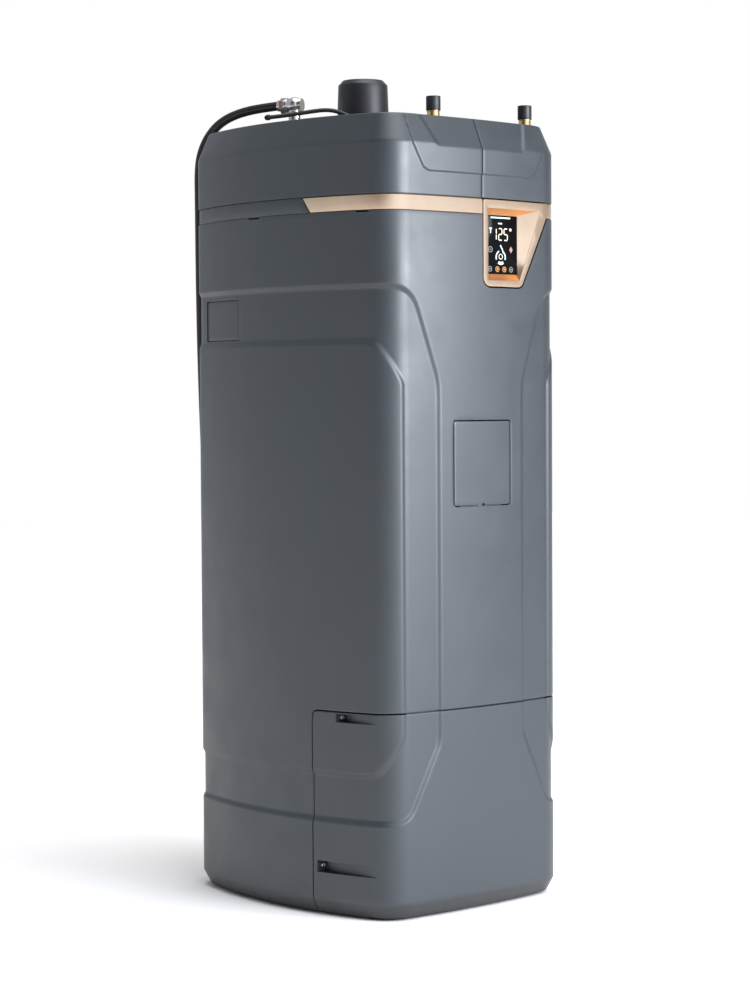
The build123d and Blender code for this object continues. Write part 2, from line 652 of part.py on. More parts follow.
def pump_impeller():
    x, y = PUMP
    z0, z1 = PUMP_Z
    wheel = rod(x, y, z0 + 7, z0 + 10, 38) + rod(x, y, z0 + 7, z0 + 24, 10)
    for k in range(6):
        vane = Pos(22, 4, z0 + 16) * Rot(0, 0, 28) * Box(30, 2.4, 13)
        wheel += Pos(x, y, 0) * Rot(0, 0, 60 * k) * vane
    return wheel + rod(x, y, z0 - 57, z0 + 12, SHAFT_R)


# --- drain valve ----------------------------------------------------------------------------------
def drain_valve():
    """Ball valve on the tank's drain, with a hose-thread outlet facing the front."""
    x, y, z = DRAIN
    body = rod_y(x, z, y - 24, y + 24, 17)
    body += extrude(Pos(x, y - 22, z) * (Plane.XZ * RegularPolygon(20, 6)), 8)
    body += extrude(Pos(x, y + 32, z) * (Plane.XZ * RegularPolygon(20, 6)), 8)
    body += rod_y(x, z, y - 50, y - 22, 13.4)
    body += rod(x, y, z, z + 24, 8)
    body -= rod_y(x, z, y - 60, y + 60, 7.5)
    body -= Pos(x, y, z) * Sphere(BALL_R + RUNNING)
    return body - rod(x, y, z, z + 30, STEM_R + RUNNING)


def drain_pipe():
    x, y, z = DRAIN
    return tube([(x, y + 32, z), (x, -110, z), (x, -110, TANK_Z[0] + 4)], PIPE_R - 1, 30,
                PIPE_BORE - 1)


def drain_lever():
    """Ball, stem and handle in one: across the pipe is shut, along it is open."""
    x, y, z = DRAIN
    ball = Pos(x, y, z) * (Sphere(BALL_R) - Rot(0, 90, 0) * Cylinder(7.5, 40))
    stem = rod(x, y, z + 10, z + 33, STEM_R)
    handle = span(x - 9, x + 62, y - 8, y + 8, z + 27, z + 30)
    handle = fillet(handle.edges().filter_by(Axis.Z), 7)
    grip = span(x + 20, x + 66, y - 9, y + 9, z + 25.5, z + 31.5)
    grip = fillet(grip.edges().filter_by(Axis.Z), 8)
    nut = extrude(Pos(x, y, z + 30) * RegularPolygon(6.5, 6), 5)
    return ball + stem + handle + grip + nut


# --- controls and power ---------------------------------------------------------------------------
def control_box():
    outer = fillet(span(-205, -66, -304, -262, 1080, 1290).edges().filter_by(Axis.Y), 5)
    box = outer - span(-203, -68, -302, -264, 1082, 1288)
    bracket = span(-252, -200, -265, -262, 1110, 1260) + span(-252, -249, -265, -160, 1110, 1260)
    return box + bracket


def control_board():
    board = span(-198, -73, -270, -268.4, 1090, 1280) + span(-198, -196, -269, -264, 1090, 1280)
    for k in range(3):
        board += span(-190 + 40 * k, -162 + 40 * k, -288, -270, 1100, 1126)
    board += span(-190, -130, -290, -270, 1150, 1200)
    for k in range(6):
        board += span(-190 + 18 * k, -176 + 18 * k, -284, -270, 1250, 1268)
    for k in range(2):
        board += rod_y(-100, 1160 + 34 * k, -292, -269, 12)
    return board


def conduit_direction():
    dx, dy = DROP[0] - ELBOW[0], DROP[1] - ELBOW[1]
    long = hypot(dx, dy)
    return dx / long, dy / long


def conduit_plane(start):
    """Plane across the conduit, a distance off the elbow's axis."""
    ux, uy = conduit_direction()
    return Plane(origin=(ELBOW[0] + ux * start, ELBOW[1] + uy * start, ELBOW_Z),
                 x_dir=(0, 0, 1), z_dir=(ux, uy, 0))


def along(start, end, radius):
    """A round piece along the conduit, between two distances off the elbow's axis."""
    return conduit_plane(start) * Pos(0, 0, (end - start) / 2) * Cylinder(radius, end - start)


def conduit_elbow():
    """Zinc elbow: hub and locknut at the roof, a round body with a screwed dome, a side outlet."""
    body = rod(*ELBOW, HEIGHT - 14, ELBOW_Z - 12, 10.6) + rod(*ELBOW, HEIGHT, HEIGHT + 9, 17)
    body += rod(*ELBOW, HEIGHT + 9, ELBOW_Z - 10, 13)
    body += extrude(Pos(*ELBOW, HEIGHT - 10) * RegularPolygon(17, 6), 5)
    body += Pos(*ELBOW, ELBOW_Z) * Sphere(ELBOW_R)
    body += along(DOME, DOME + 10, 14) + along(OUTLET, COLLAR, 15)
    return body - along(COLLAR, COLLAR + 5, ELBOW_R)


def conduit_nut():
    """Gland nut that clamps the power whip: collar, hexagon and end ring."""
    ring_start, ring_end = NUT_END
    nut = along(COLLAR, HEXAGON, 16) + along(ring_start, ring_end, 12.2)
    return nut + extrude(conduit_plane(HEXAGON) * RegularPolygon(17, 6), ring_start - HEXAGON)


def whip_route():
    """Power whip: out of the nut, over the rear edge of the roof and down behind the casing."""
    ux, uy = conduit_direction()
    over = [(NUT_END[1] + 0.2, ELBOW_Z), (83, 1708), (131, 1700), (170, 1685.5), (199.5, 1662),
            (221, 1628), (232, 1586)]
    route = [(ELBOW[0] + ux * s, ELBOW[1] + uy * s, z) for s, z in over]
    return route + [(-201.5, 351.5, 1495), (-201, 351.8, 1345), (-198, 351.5, 1145),
                    (-190, 350.5, 915), (-182, 349, 675), (-178, 347, 445), (-177, 345, 265),
                    (-177, 345, 111)]


def hose_route():
    """Overflow hose: from its barb, in a low arch over the roof to its plugged free end."""
    return [(-88.4, -21.0, 1674.0), (-103.2, -7.5, 1683.5), (-123.9, 11.5, 1688.0),
            (-146.0, 31.7, 1684.5), (-168.4, 52.3, 1680.0), (-191.5, 73.5, 1675.5),
            (-212.5, 92.8, 1672.5)]


def cord(route, diameter, name):
    """A cord's solid: straight runs joined by the largest tangent arcs that they allow."""
    points = [Vector(*p) for p in route]
    radii = []
    for a, b, c in zip(points, points[1:], points[2:]):
        turn = radians((b - a).get_angle(c - b))
        radii.append(0.45 * min((b - a).length, (c - b).length) / tan(turn / 2))
    path = FilletPolyline(*points, radius=radii)
    solid = sweep(Plane(origin=path @ 0, z_dir=path % 0) * Circle(diameter / 2), path=path)
    print(name, "length", round(path.length, 1), "radii", [round(r) for r in radii])
    print(name, "volume ratio", round(solid.volume / (pi * diameter ** 2 / 4 * path.length), 4))
    return solid


def whip_connector():
    """Straight conduit connector on the whip's end: gland nut, hexagon and threaded nose."""
    x, y, z = whip_route()[-1]
    body = extrude(Pos(x, y, z - 16) * RegularPolygon(16.5, 6), 16)
    body += rod(x, y, z - 20, z - 15, 14) + extrude(Pos(x, y, z - 28) * RegularPolygon(17, 6), 8)
    nose = rod(x, y, z - 46, z - 27, 10.6)
    return body + nose - rod(x, y, z - 50, z - 4, 7.5)


def hose_barb():
    x, y = BARB
    end = Vector(*hose_route()[0])
    body = rod(x, y, 1640, 1664, 4) + rod(x, y, HEIGHT, HEIGHT + 4, 9)
    root = Vector(x, y, 1665.5)
    body += Pos(*root) * Sphere(5.2)
    reach = (end - root).length
    here = Plane(origin=root, z_dir=end - root)
    return body + here * Pos(0, 0, reach / 2) * Cylinder(3.6, reach)


def hose_plug():
    start, end = (Vector(*p) for p in hose_route()[-2:])
    here = Plane(origin=end, z_dir=end - start)
    plug = here * Pos(0, 0, 4) * Cylinder(6, 8)
    return plug + here * Pos(0, 0, 7) * Sphere(5.4)


def main():
    skin = casing_skin()
    save("main_jacket", main_jacket(skin))
    save("lower_service_cover", lower_service_cover(skin))
    for name, (x, seat, z, _, _) in POCKETS.items():
        save(f"cover_screw_{name}_right", cover_screw(x, seat, z))
        save(f"cover_screw_{name}_left", cover_screw(-x, seat, z))
    save("side_port_plate_left", side_port_plate(-1))
    save("side_port_plate_right", side_port_plate(1))
    save("rear_panel", rear_panel())
    save("rear_panel_screws", rear_panel_screws())
    top = top_cover()
    save("top_cover_left", top & span(-420, -SEAM / 3, -420, 420, 1400, 1700))
    save("top_cover_right", top & span(SEAM / 3, 420, -420, 420, 1400, 1700))
    save("trim_band", trim_band())
    save("rear_band", rear_band())
    save("display_bezel", display_bezel())
    save("display_glass", display_glass())
    save("display_housing", display_housing())
    save("display_board", display_board())
    save("access_cover", access_cover())
    save("access_frame", access_frame())
    save("base_pan", base_pan())
    save("foot_pads", foot_pads())
    save("frame_post_left", frame_post_front(-1))
    save("frame_post_right", frame_post_front(1))
    save("frame_posts_rear", frame_posts_rear())
    save("tank_deck", tank_deck())
    save("storage_tank", storage_tank())
    save("tank_insulation", tank_insulation())
    save("filler_neck", filler_neck())
    save("neck_seal", neck_seal())
    save("fill_cap", fill_cap())
    save("heating_element_lower", heating_element(ELEMENT_Z[0]))
    save("heating_element_upper", heating_element(ELEMENT_Z[1]))
    save("high_limit_thermostat", high_limit_thermostat())
    save("reset_button", reset_button())
    for name, place in (("cold", COLD), ("hot", HOT)):
        save(f"{name}_water_nipple", water_nipple(*place))
        save(f"{name}_nipple_cap", nipple_cap(*place))
    save("cold_pipe", cold_pipe())
    save("hot_pipe", hot_pipe())
    save("plate_heat_exchanger", plate_heat_exchanger())
    save("tank_supply_pipe", tank_supply_pipe())
    save("pump_outlet_pipe", pump_outlet_pipe())
    save("tank_return_pipe", tank_return_pipe())
    save("pump_housing", pump_housing())
    save("pump_motor", pump_motor())
    save("pump_impeller", pump_impeller())
    save("drain_valve", drain_valve())
    save("drain_pipe", drain_pipe())
    save("drain_lever", drain_lever())
    save("control_box", control_box())
    save("control_board", control_board())
    save("conduit_elbow", conduit_elbow())
    save("conduit_nut", conduit_nut())
    save("power_whip", cord(whip_route(), WHIP_D, "power_whip"))
    save("whip_connector", whip_connector())
    save("hose_barb", hose_barb())
    save("overflow_hose", cord(hose_route(), HOSE_D, "overflow_hose"))
    save("hose_plug", hose_plug())


main()
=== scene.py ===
import json
from math import acos, atan2, cos, hypot, pi, radians, sin, sqrt, tan

import bmesh
import bpy
import numpy as np
from mathutils import Matrix, Vector


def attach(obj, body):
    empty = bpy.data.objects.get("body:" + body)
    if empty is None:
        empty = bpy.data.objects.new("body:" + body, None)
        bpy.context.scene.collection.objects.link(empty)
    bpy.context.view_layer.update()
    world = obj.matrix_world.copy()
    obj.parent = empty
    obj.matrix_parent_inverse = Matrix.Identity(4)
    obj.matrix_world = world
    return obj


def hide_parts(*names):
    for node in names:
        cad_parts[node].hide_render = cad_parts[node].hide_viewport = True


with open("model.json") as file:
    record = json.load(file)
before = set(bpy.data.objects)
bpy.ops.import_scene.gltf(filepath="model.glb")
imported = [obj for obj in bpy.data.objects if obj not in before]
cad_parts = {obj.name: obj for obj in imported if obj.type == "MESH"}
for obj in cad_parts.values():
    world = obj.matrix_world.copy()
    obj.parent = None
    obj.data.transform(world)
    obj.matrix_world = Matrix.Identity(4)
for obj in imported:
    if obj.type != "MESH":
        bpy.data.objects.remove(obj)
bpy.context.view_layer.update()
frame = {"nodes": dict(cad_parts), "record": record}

# The looks of a tall water heater. Moulded shells, trim, display and cords stand in for the plain
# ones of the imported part, in its frame. Its other parts only get materials and softened edges.
MM = 0.001
SCENE = bpy.context.scene
COLLECTION = SCENE.collection

# --- dimensions of the casing, in millimetres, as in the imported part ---
HALF_W, HALF_D = 306.0, 334.5
FRONT_R, SIDE_R, CORNER_R = 1815.0, 860.0, 79.0
HEIGHT, WALL, CHANNEL = 1650.0, 5.0, 4.5
CASE_Z0, FOOT_Z, FOOT_IN = 6.0, 34.0, 15.0
BAND_Z0, BAND_Z1 = 1451.0, 1484.0
KNEE_Z, ROOF_IN = 1591.0, 24.9
COVER_TOP, COVER_REAR, SEAM = 425.5, -128.5, 2.5
HATCH_X, HATCH_Z, HATCH_GAP = 81.5, (847.0, 1022.0), 2.0
PORT_Y, PORT_Z = (103.0, 248.0), (1195.0, 1282.0)
REAR_X, REAR_Z = 180.0, (66.0, 1396.0)
BEZEL_X, BEZEL_Z0, BEZEL_TURN, SLANT = (4.0, 204.0), 1302.0, 120.5, 0.57
SCREEN_X, SCREEN_Z, SCREEN_Y = (21.0, 118.0), (1329.0, 1452.0), -320.0
# Centres of the roof's holes.
NECK, COLD, HOT = (0.0, 31.0), (235.0, -230.0), (-38.5, -230.0)
ELBOW, BARB = (-100.4, 143.1), (-78.0, -30.5)
COVER_R, EDGE_R = 12.0, 1.2
# Depth of a lip that stands just behind the recessed wall.
LAP = CHANNEL + WALL + 0.2
# Distances of the fine grid lines from an edge, and the angle, in degrees, of a sharp edge.
CLUSTER, SHARP = (0.0, 0.25, 0.6, 1.2), 32.0
# A cutter's reach through the front or left wall, through the rear or right wall, and past both.
NEAR, FAR, PAST = (-400, -200), (200, 400), 420


# --- plane geometry ---
def rounded(points, radii, steps=7, closed=True):
    """Polygon with its corners replaced by arcs, as an array of points."""
    count, made = len(points), []
    for k, (p, r) in enumerate(zip(points, radii)):
        p = np.array(p, float)
        if not r or (not closed and k in (0, count - 1)):
            made.append(p)
            continue
        a = np.array(points[k - 1], float) - p
        b = np.array(points[(k + 1) % count], float) - p
        a, b = a / np.linalg.norm(a), b / np.linalg.norm(b)
        if np.linalg.norm(a + b) < 1e-6:
            made += [p + b * 0.02 * (i - steps / 2) for i in range(steps + 1)]
            continue
        half = acos(max(-1.0, min(1.0, float(a @ b)))) / 2
        middle = p + (a + b) / np.linalg.norm(a + b) * r / sin(half)
        start, end = p + a * r / tan(half) - middle, p + b * r / tan(half) - middle
        turn = atan2(start[0] * end[1] - start[1] * end[0], float(start @ end))
        for i in range(steps + 1):
            t = turn * i / steps
            made.append(middle + np.array([start[0] * cos(t) - start[1] * sin(t),
                                           start[0] * sin(t) + start[1] * cos(t)]))
    return np.array(made)


def signed_distance(polygon, x, y):
    """Distance to a closed polygon's edge, negative inside."""
    best = np.full(x.shape, 1e9)
    inside = np.zeros(x.shape, bool)
    for (ax, ay), (bx, by) in zip(polygon, np.roll(polygon, -1, 0)):
        dx, dy = bx - ax, by - ay
        t = np.clip(((x - ax) * dx + (y - ay) * dy) / max(dx * dx + dy * dy, 1e-12), 0, 1)
        best = np.minimum(best, np.hypot(x - ax - t * dx, y - ay - t * dy))
        crosses = (ay > y) != (by > y)
        inside ^= crosses & (x < ax + (y - ay) * dx / (dy if abs(dy) > 1e-9 else 1e-9))
    return np.where(inside, -best, best)


def smooth(t):
    t = np.clip(t, 0, 1)
    return t * t * (3 - 2 * t)


def edge_drop(inside):
    """Depth of a rounded edge, at a distance inside the cut that makes it."""
    d = np.clip(inside, 0, EDGE_R)
    return EDGE_R - np.sqrt(np.maximum(EDGE_R * EDGE_R - (EDGE_R - d) ** 2, 0))


def ticks(spans, edges=()):
    """Grid lines: even steps over each span, with a fine cluster on one side of each edge."""
    values = set()
    for a, b, step in spans:
        n = max(1, round((b - a) / step))
        values |= {round(a + (b - a) * i / n, 3) for i in range(n + 1)}
    for at, side in edges:
        cluster = [round(at + side * k, 3) for k in CLUSTER]
        low, high = min(cluster) - 0.6, max(cluster) + 0.6
        values = {v for v in values if not low < v < high} | set(cluster) | {at - side * 0.8}
    return sorted(values)


# --- the casing's plan ---
def corner():
    """Centre of a corner's arc, and where it meets the front arc and the side arc."""
    f, s = np.array([0.0, FRONT_R - HALF_D]), np.array([HALF_W - SIDE_R, 0.0])
    a, b, d = FRONT_R - CORNER_R, SIDE_R - CORNER_R, np.linalg.norm(s - f)
    along = (a * a - b * b + d * d) / (2 * d)
    up = sqrt(a * a - along * along)
    e = (s - f) / d
    centre = max((f + e * along + np.array([-e[1], e[0]]) * k * up for k in (-1, 1)),
                 key=lambda c: c[0])
    return (centre, f + (centre - f) / a * FRONT_R, s + (centre - s) / b * SIDE_R)


CORNER_C, FRONT_END, SIDE_END = corner()


def stations(front_x, side_y, rear_x, arc_steps=(40, 26)):
    """Points and outward normals round the plan, from the front's middle to the right and on."""
    half = []
    for x in front_x:
        if x < FRONT_END[0] - 0.5:
            half.append((x, FRONT_R - HALF_D - sqrt(FRONT_R ** 2 - x * x), 0))
    a0 = atan2(*(FRONT_END - CORNER_C)[::-1])
    a1 = atan2(*(SIDE_END - CORNER_C)[::-1])
    for i in range(arc_steps[0] + 1):
        t = a0 + (a1 - a0) * i / arc_steps[0]
        half.append((CORNER_C[0] + CORNER_R * cos(t), CORNER_C[1] + CORNER_R * sin(t), 1))
    for y in side_y:
        if abs(y) < -SIDE_END[1] - 0.5:
            half.append((HALF_W - SIDE_R + sqrt(SIDE_R ** 2 - y * y), y, 2))
    for i in range(arc_steps[1] + 1):
        t = -a1 + (a1 - a0) * i / arc_steps[1]
        half.append((CORNER_C[0] + CORNER_R * cos(t), -CORNER_C[1] + CORNER_R * sin(t), 3))
    for x in sorted(rear_x, reverse=True):
        if x < FRONT_END[0] - 0.5:
            half.append((x, HALF_D - FRONT_R + sqrt(FRONT_R ** 2 - x * x), 4))
    left = [(-x, y, k) for x, y, k in half if x > 1e-6][::-1]
    return with_normals(half + left)


def with_normals(points):
    """Plan points with outward normals; the kind counts the arcs, from front to rear."""
    made = []
    for x, y, kind in points:
        side = -1 if x < 0 else 1
        centre = {0: (0, FRONT_R - HALF_D), 1: (side * CORNER_C[0], CORNER_C[1]),
                  2: (side * (HALF_W - SIDE_R), 0), 3: (side * CORNER_C[0], -CORNER_C[1]),
                  4: (0, HALF_D - FRONT_R)}[kind]
        n = np.array([x - centre[0], y - centre[1]])
        made.append((x, y, *(n / np.linalg.norm(n))))
    return np.array(made)


def front_y(x, inset=0.0):
    """The front's surface at x."""
    return FRONT_R - HALF_D - np.sqrt((FRONT_R - inset) ** 2 - np.asarray(x, float) ** 2)


def side_x(y, inset=0.0):
    return HALF_W - SIDE_R + sqrt((SIDE_R - inset) ** 2 - y * y)


# --- mesh helpers ---
def soften(mesh, sharp):
    """Smooth shading, broken where faces meet at more than an angle."""
    mesh.polygons.foreach_set("use_smooth", [True] * len(mesh.polygons))
    mesh.set_sharp_from_angle(angle=radians(sharp))


def make_object(name, vertices, faces, sharp=SHARP):
    mesh = bpy.data.meshes.new(name)
    mesh.from_pydata([tuple(float(c) * MM for c in v) for v in vertices], [], faces)
    bm = bmesh.new()
    bm.from_mesh(mesh)
    bmesh.ops.recalc_face_normals(bm, faces=bm.faces)
    bm.to_mesh(mesh)
    bm.free()
    soften(mesh, sharp)
    made = bpy.data.objects.new(name, mesh)
    COLLECTION.objects.link(made)
    return made


def strips(rows, columns, wrap_columns=True, wrap_rows=True):
    """Quads of a grid of vertices numbered row by row."""
    faces = []
    for i in range(rows if wrap_rows else rows - 1):
        for k in range(columns if wrap_columns else columns - 1):
            a, b = i * columns, ((i + 1) % rows) * columns
            faces.append((a + k, a + (k + 1) % columns, b + (k + 1) % columns, b + k))
    return faces


def loops_object(name, loops, sharp=SHARP, cap=False):
    """Closed skin through loops of equal length; capped at both ends, or joined end to start."""
    count, n = len(loops), len(loops[0])
    faces = strips(count, n, wrap_rows=not cap)
    if cap:
        faces += [tuple(range(n))[::-1], tuple(range((count - 1) * n, count * n))]
    return make_object(name, [v for loop in loops for v in loop], faces, sharp)


def slab(name, front, back):
    """Closed slab between two grids of points."""
    rows, columns = front.shape[:2]
    size = rows * columns
    faces = strips(rows, columns, False, False)
    faces += [tuple(size + i for i in f[::-1]) for f in faces]
    rim = ([k for k in range(columns)] + [columns * i + columns - 1 for i in range(1, rows)]
           + [size - 1 - k for k in range(1, columns)]
           + [columns * i for i in range(rows - 2, 0, -1)])
    faces += [(a, a + size, b + size, b) for a, b in zip(rim, rim[1:] + rim[:1])]
    return make_object(name, np.concatenate([front.reshape(-1, 3), back.reshape(-1, 3)]), faces)


def prism(name, polygon, low, high, axis):
    """A polygon extruded along x (drawn in y, z), y (drawn in x, z) or z (drawn in x, y)."""
    place = {"x": lambda p, t: (t, p[0], p[1]), "y": lambda p, t: (p[0], t, p[1]),
             "z": lambda p, t: (p[0], p[1], t)}[axis]
    return loops_object(name, [[place(p, t) for p in polygon] for t in (low, high)], cap=True)


def brick(name, x0, x1, y0, y1, z0, z1):
    return prism(name, [(x0, y0), (x1, y0), (x1, y1), (x0, y1)], z0, z1, "z")


def turned(name, profile, centre, segments, axis="z"):
    """A profile of (radius, height) turned about an axis; radius 0 ends close to a point."""
    rings = []
    for r, h in profile:
        ring = [(max(r, 0.02) * cos(2 * pi * k / segments),
                 max(r, 0.02) * sin(2 * pi * k / segments), h) for k in range(segments)]
        if axis == "y":
            ring = [(x, along, -y) for x, y, along in ring]
        elif axis == "x":
            ring = [(along, x, y) for x, y, along in ring]
        rings.append([tuple(np.array(v) + centre) for v in ring])
    return loops_object(name, rings, cap=True)


def combine(target, cutters, operation="DIFFERENCE"):
    """Booleans applied in turn; the cutters are used up."""
    for cutter in cutters:
        step = target.modifiers.new("cut", "BOOLEAN")
        step.solver, step.operation, step.object = "MANIFOLD", operation, cutter
    bpy.context.view_layer.update()
    graph = bpy.context.evaluated_depsgraph_get()
    mesh = bpy.data.meshes.new_from_object(target.evaluated_get(graph))
    target.modifiers.clear()
    old, target.data = target.data, mesh
    bpy.data.meshes.remove(old)
    soften(mesh, SHARP)
    for cutter in cutters:
        discard(cutter)


def discard(piece):
    mesh = piece.data
    bpy.data.objects.remove(piece)
    bpy.data.meshes.remove(mesh)


def copy_of(piece, name):
    made = piece.copy()
    made.data = piece.data.copy()
    made.name = made.data.name = name
    COLLECTION.objects.link(made)
    return made


# --- materials ---
class Tree:
    """Short calls for building a node tree."""

    def __init__(self, tree):
        self.tree = tree

    def add(self, kind, **values):
        node = self.tree.nodes.new("ShaderNode" + kind)
        for key, value in values.items():
            if hasattr(node, key):
                setattr(node, key, value)
            else:
                node.inputs[key.replace("_", " ")].default_value = value
        return node

    def link(self, a, b):
        self.tree.links.new(a, b)

    def spread(self, value, low, high, start=0.3, end=0.7, **kind):
        node = self.add("MapRange", **kind)
        for key, number in (("From Min", start), ("From Max", end), ("To Min", low), ("To Max", high)):
            node.inputs[key].default_value = number
        self.link(value, node.inputs["Value"])
        return node.outputs["Result"]

    def math(self, operation, a, b):
        node = self.add("Math", operation=operation)
        for k, value in enumerate((a, b)):
            if isinstance(value, (int, float)):
                node.inputs[k].default_value = value
            else:
                self.link(value, node.inputs[k])
        return node.outputs[0]

    def blend(self, share, a, b):
        node = self.add("Mix", data_type="RGBA")
        self.link(share, node.inputs["Factor"])
        for slot, value in ((6, a), (7, b)):
            if isinstance(value, tuple):
                node.inputs[slot].default_value = (*value, 1.0)
            else:
                self.link(value, node.inputs[slot])
        return node.outputs[2]

    def vector(self, operation, a, b=None):
        node = self.add("VectorMath", operation=operation)
        self.link(a, node.inputs[0])
        if b:
            node.inputs[1].default_value = b
        return node


class Nodes(Tree):
    """The node tree of one material."""

    def __init__(self, name):
        self.material = bpy.data.materials.new(name)
        self.material.use_nodes = True
        super().__init__(self.material.node_tree)
        self.tree.nodes.clear()
        self.shader = self.add("BsdfPrincipled")
        out = self.add("OutputMaterial")
        self.link(self.shader.outputs[0], out.inputs[0])
        self.place = self.add("TexCoord").outputs["Object"]

    def stretched(self, scale):
        node = self.add("Mapping")
        node.inputs["Scale"].default_value = scale
        self.link(self.place, node.inputs["Vector"])
        return node.outputs[0]

    def noise(self, scale, detail=3.0, place=None):
        node = self.add("TexNoise", Scale=scale, Detail=detail, Roughness=0.55)
        self.link(place or self.place, node.inputs["Vector"])
        return node.outputs["Fac"]

    def cells(self, scale):
        node = self.add("TexVoronoi", feature="F1", Scale=scale)
        self.link(self.place, node.inputs["Vector"])
        return node.outputs["Distance"]

    def edges(self, start, end):
        """Share that grows from the flats to the outward edges."""
        return self.spread(self.add("NewGeometry").outputs["Pointiness"], 0, 1, start, end)

    def upward(self):
        """The normal's vertical part: 1 on a top, 0 on a wall, -1 underneath."""
        parts = self.add("SeparateXYZ")
        self.link(self.add("NewGeometry").outputs["Normal"], parts.inputs[0])
        return parts.outputs["Z"]

    def set(self, **values):
        for key, value in values.items():
            socket = self.shader.inputs[key.replace("_", " ")]
            if hasattr(value, "is_linked"):
                self.link(value, socket)
            else:
                socket.default_value = value

    def bump(self, height, depth):
        node = self.add("Bump", Strength=1.0, Distance=depth * MM)
        self.link(height, node.inputs["Height"])
        self.link(node.outputs[0], self.shader.inputs["Normal"])


def shade(color, factor):
    return tuple(min(1.0, c * factor) for c in color)


def finish_of(name, color, rough, grain, metal=0.0, depth=0.06, vary=0.10, wear=1.25,
              stretch=None, coat=0.0, specular=0.5, patches=9.0):
    """A surface with soft colour patches, a fine grain, lighter edges and uneven gloss."""
    n = Nodes(name)
    broad = n.noise(patches, 4.0)
    place = n.stretched(stretch) if stretch else None
    fine = n.noise(grain, 3.0, place)
    mixed = n.math("ADD", n.math("MULTIPLY", broad, 0.6), n.math("MULTIPLY", fine, 0.4))
    body = n.blend(n.spread(mixed, 0, 1), shade(color, 1 - vary), shade(color, 1 + vary))
    worn = n.math("MULTIPLY", n.edges(0.52, 0.60), n.spread(broad, 0.1, 0.6))
    n.set(Base_Color=n.blend(worn, body, shade(color, wear)), Metallic=metal,
          Roughness=n.spread(mixed, rough - 0.06, rough + 0.06), Coat_Weight=coat,
          Specular_IOR_Level=specular)
    n.bump(fine, depth)
    return n.material


def moulded_casing():
    """Dark slate plastic with painted shade on downward faces, and the sparkle of a spark-eroded mould.
    """
    n = Nodes("casing_plastic")
    color = (0.019, 0.028, 0.036)
    broad, spark = n.noise(3.5, 5.0), n.noise(520.0, 2.0)
    pits = n.cells(900.0)
    mixed = n.math("ADD", n.math("MULTIPLY", broad, 0.5), n.math("MULTIPLY", spark, 0.5))
    body = n.blend(n.spread(mixed, 0, 1, 0.34, 0.66), shade(color, 0.90), shade(color, 1.10))
    worn = n.math("MULTIPLY", n.edges(0.51, 0.58), n.spread(broad, 0.15, 0.55))
    # Painted shade: faces that turn downwards are darkened towards a quarter of the casing's colour.
    underside_shade = n.spread(n.math("MULTIPLY", n.upward(), -1.0), 0, 1, 0.12, 0.5)
    n.set(Base_Color=n.blend(underside_shade, n.blend(worn, body, shade(color, 1.5)), shade(color, 0.25)),
          Roughness=n.spread(n.noise(14.0, 4.0), 0.38, 0.47), Specular_IOR_Level=0.85)
    n.bump(n.math("ADD", spark, n.math("MULTIPLY", pits, 0.6)), 0.10)
    return n.material


def satin_copper():
    """Copper-coloured plating with a painted reflection that makes level facets redder, and a fine satin
    line along its length.
    """
    n = Nodes("copper_trim")
    color = (0.71, 0.575, 0.43)
    broad = n.noise(22.0, 3.0)
    lines = n.noise(160.0, 4.0, n.stretched((1.0, 1.0, 22.0)))
    body = n.blend(n.spread(broad, 0, 1), shade(color, 0.95), shade(color, 1.04))
    # Painted reflection: facets that face up or down get a darker, redder orange, as copper looks where
    # it mirrors a dark warm room.
    level = n.spread(n.math("ABSOLUTE", n.upward(), 0.0), 0, 1, 0.2, 0.6)
    n.set(Base_Color=n.blend(level, body, (0.66, 0.30, 0.11)), Metallic=0.92,
          Roughness=n.spread(lines, 0.36, 0.46), Specular_IOR_Level=0.6)
    n.bump(lines, 0.012)
    return n.material


def screen_glass():
    n = Nodes("screen_glass")
    smear = n.noise(18.0, 5.0)
    n.set(Base_Color=n.blend(n.spread(smear, 0, 1), (0.0025, 0.0026, 0.0032), (0.004, 0.0042, 0.005)),
          Roughness=n.spread(smear, 0.05, 0.10), Specular_IOR_Level=0.06)
    n.bump(n.noise(60.0, 2.0), 0.004)
    return n.material


def glowing(name, color, strength):
    """Lit legend behind glass, a little uneven as a backlight is."""
    n = Nodes(name)
    uneven = n.noise(260.0, 2.0)
    n.set(Base_Color=shade(color, 0.4) + (1.0,), Roughness=0.4,
          Emission_Color=n.blend(n.spread(uneven, 0, 1), shade(color, 0.86), color),
          Emission_Strength=strength)
    return n.material


def circuit_board():
    """Solder mask over a grid of tracks."""
    n = Nodes("circuit_board")
    wave = n.add("TexWave", wave_type="BANDS", bands_direction="X", Scale=140.0, Distortion=3.0)
    n.link(n.place, wave.inputs["Vector"])
    tracks = n.spread(wave.outputs["Fac"], 0, 1, 0.6, 0.7)
    n.set(Base_Color=n.blend(tracks, (0.012, 0.085, 0.035), (0.03, 0.17, 0.07)),
          Roughness=n.spread(n.noise(90.0), 0.28, 0.42), Coat_Weight=0.3)
    n.bump(wave.outputs["Fac"], 0.05)
    return n.material


def cut_foam():
    n = Nodes("foam")
    cells = n.cells(420.0)
    n.set(Base_Color=n.blend(n.spread(n.noise(16.0, 5.0), 0, 1), (0.50, 0.41, 0.24), (0.74, 0.64, 0.42)),
          Roughness=0.9, Specular_IOR_Level=0.2)
    n.bump(cells, 0.6)
    return n.material


MATERIALS = {
    "casing_plastic": moulded_casing(),
    "copper_trim": satin_copper(),
    "screen_glass": screen_glass(),
    "circuit_board": circuit_board(),
    "foam": cut_foam(),
}
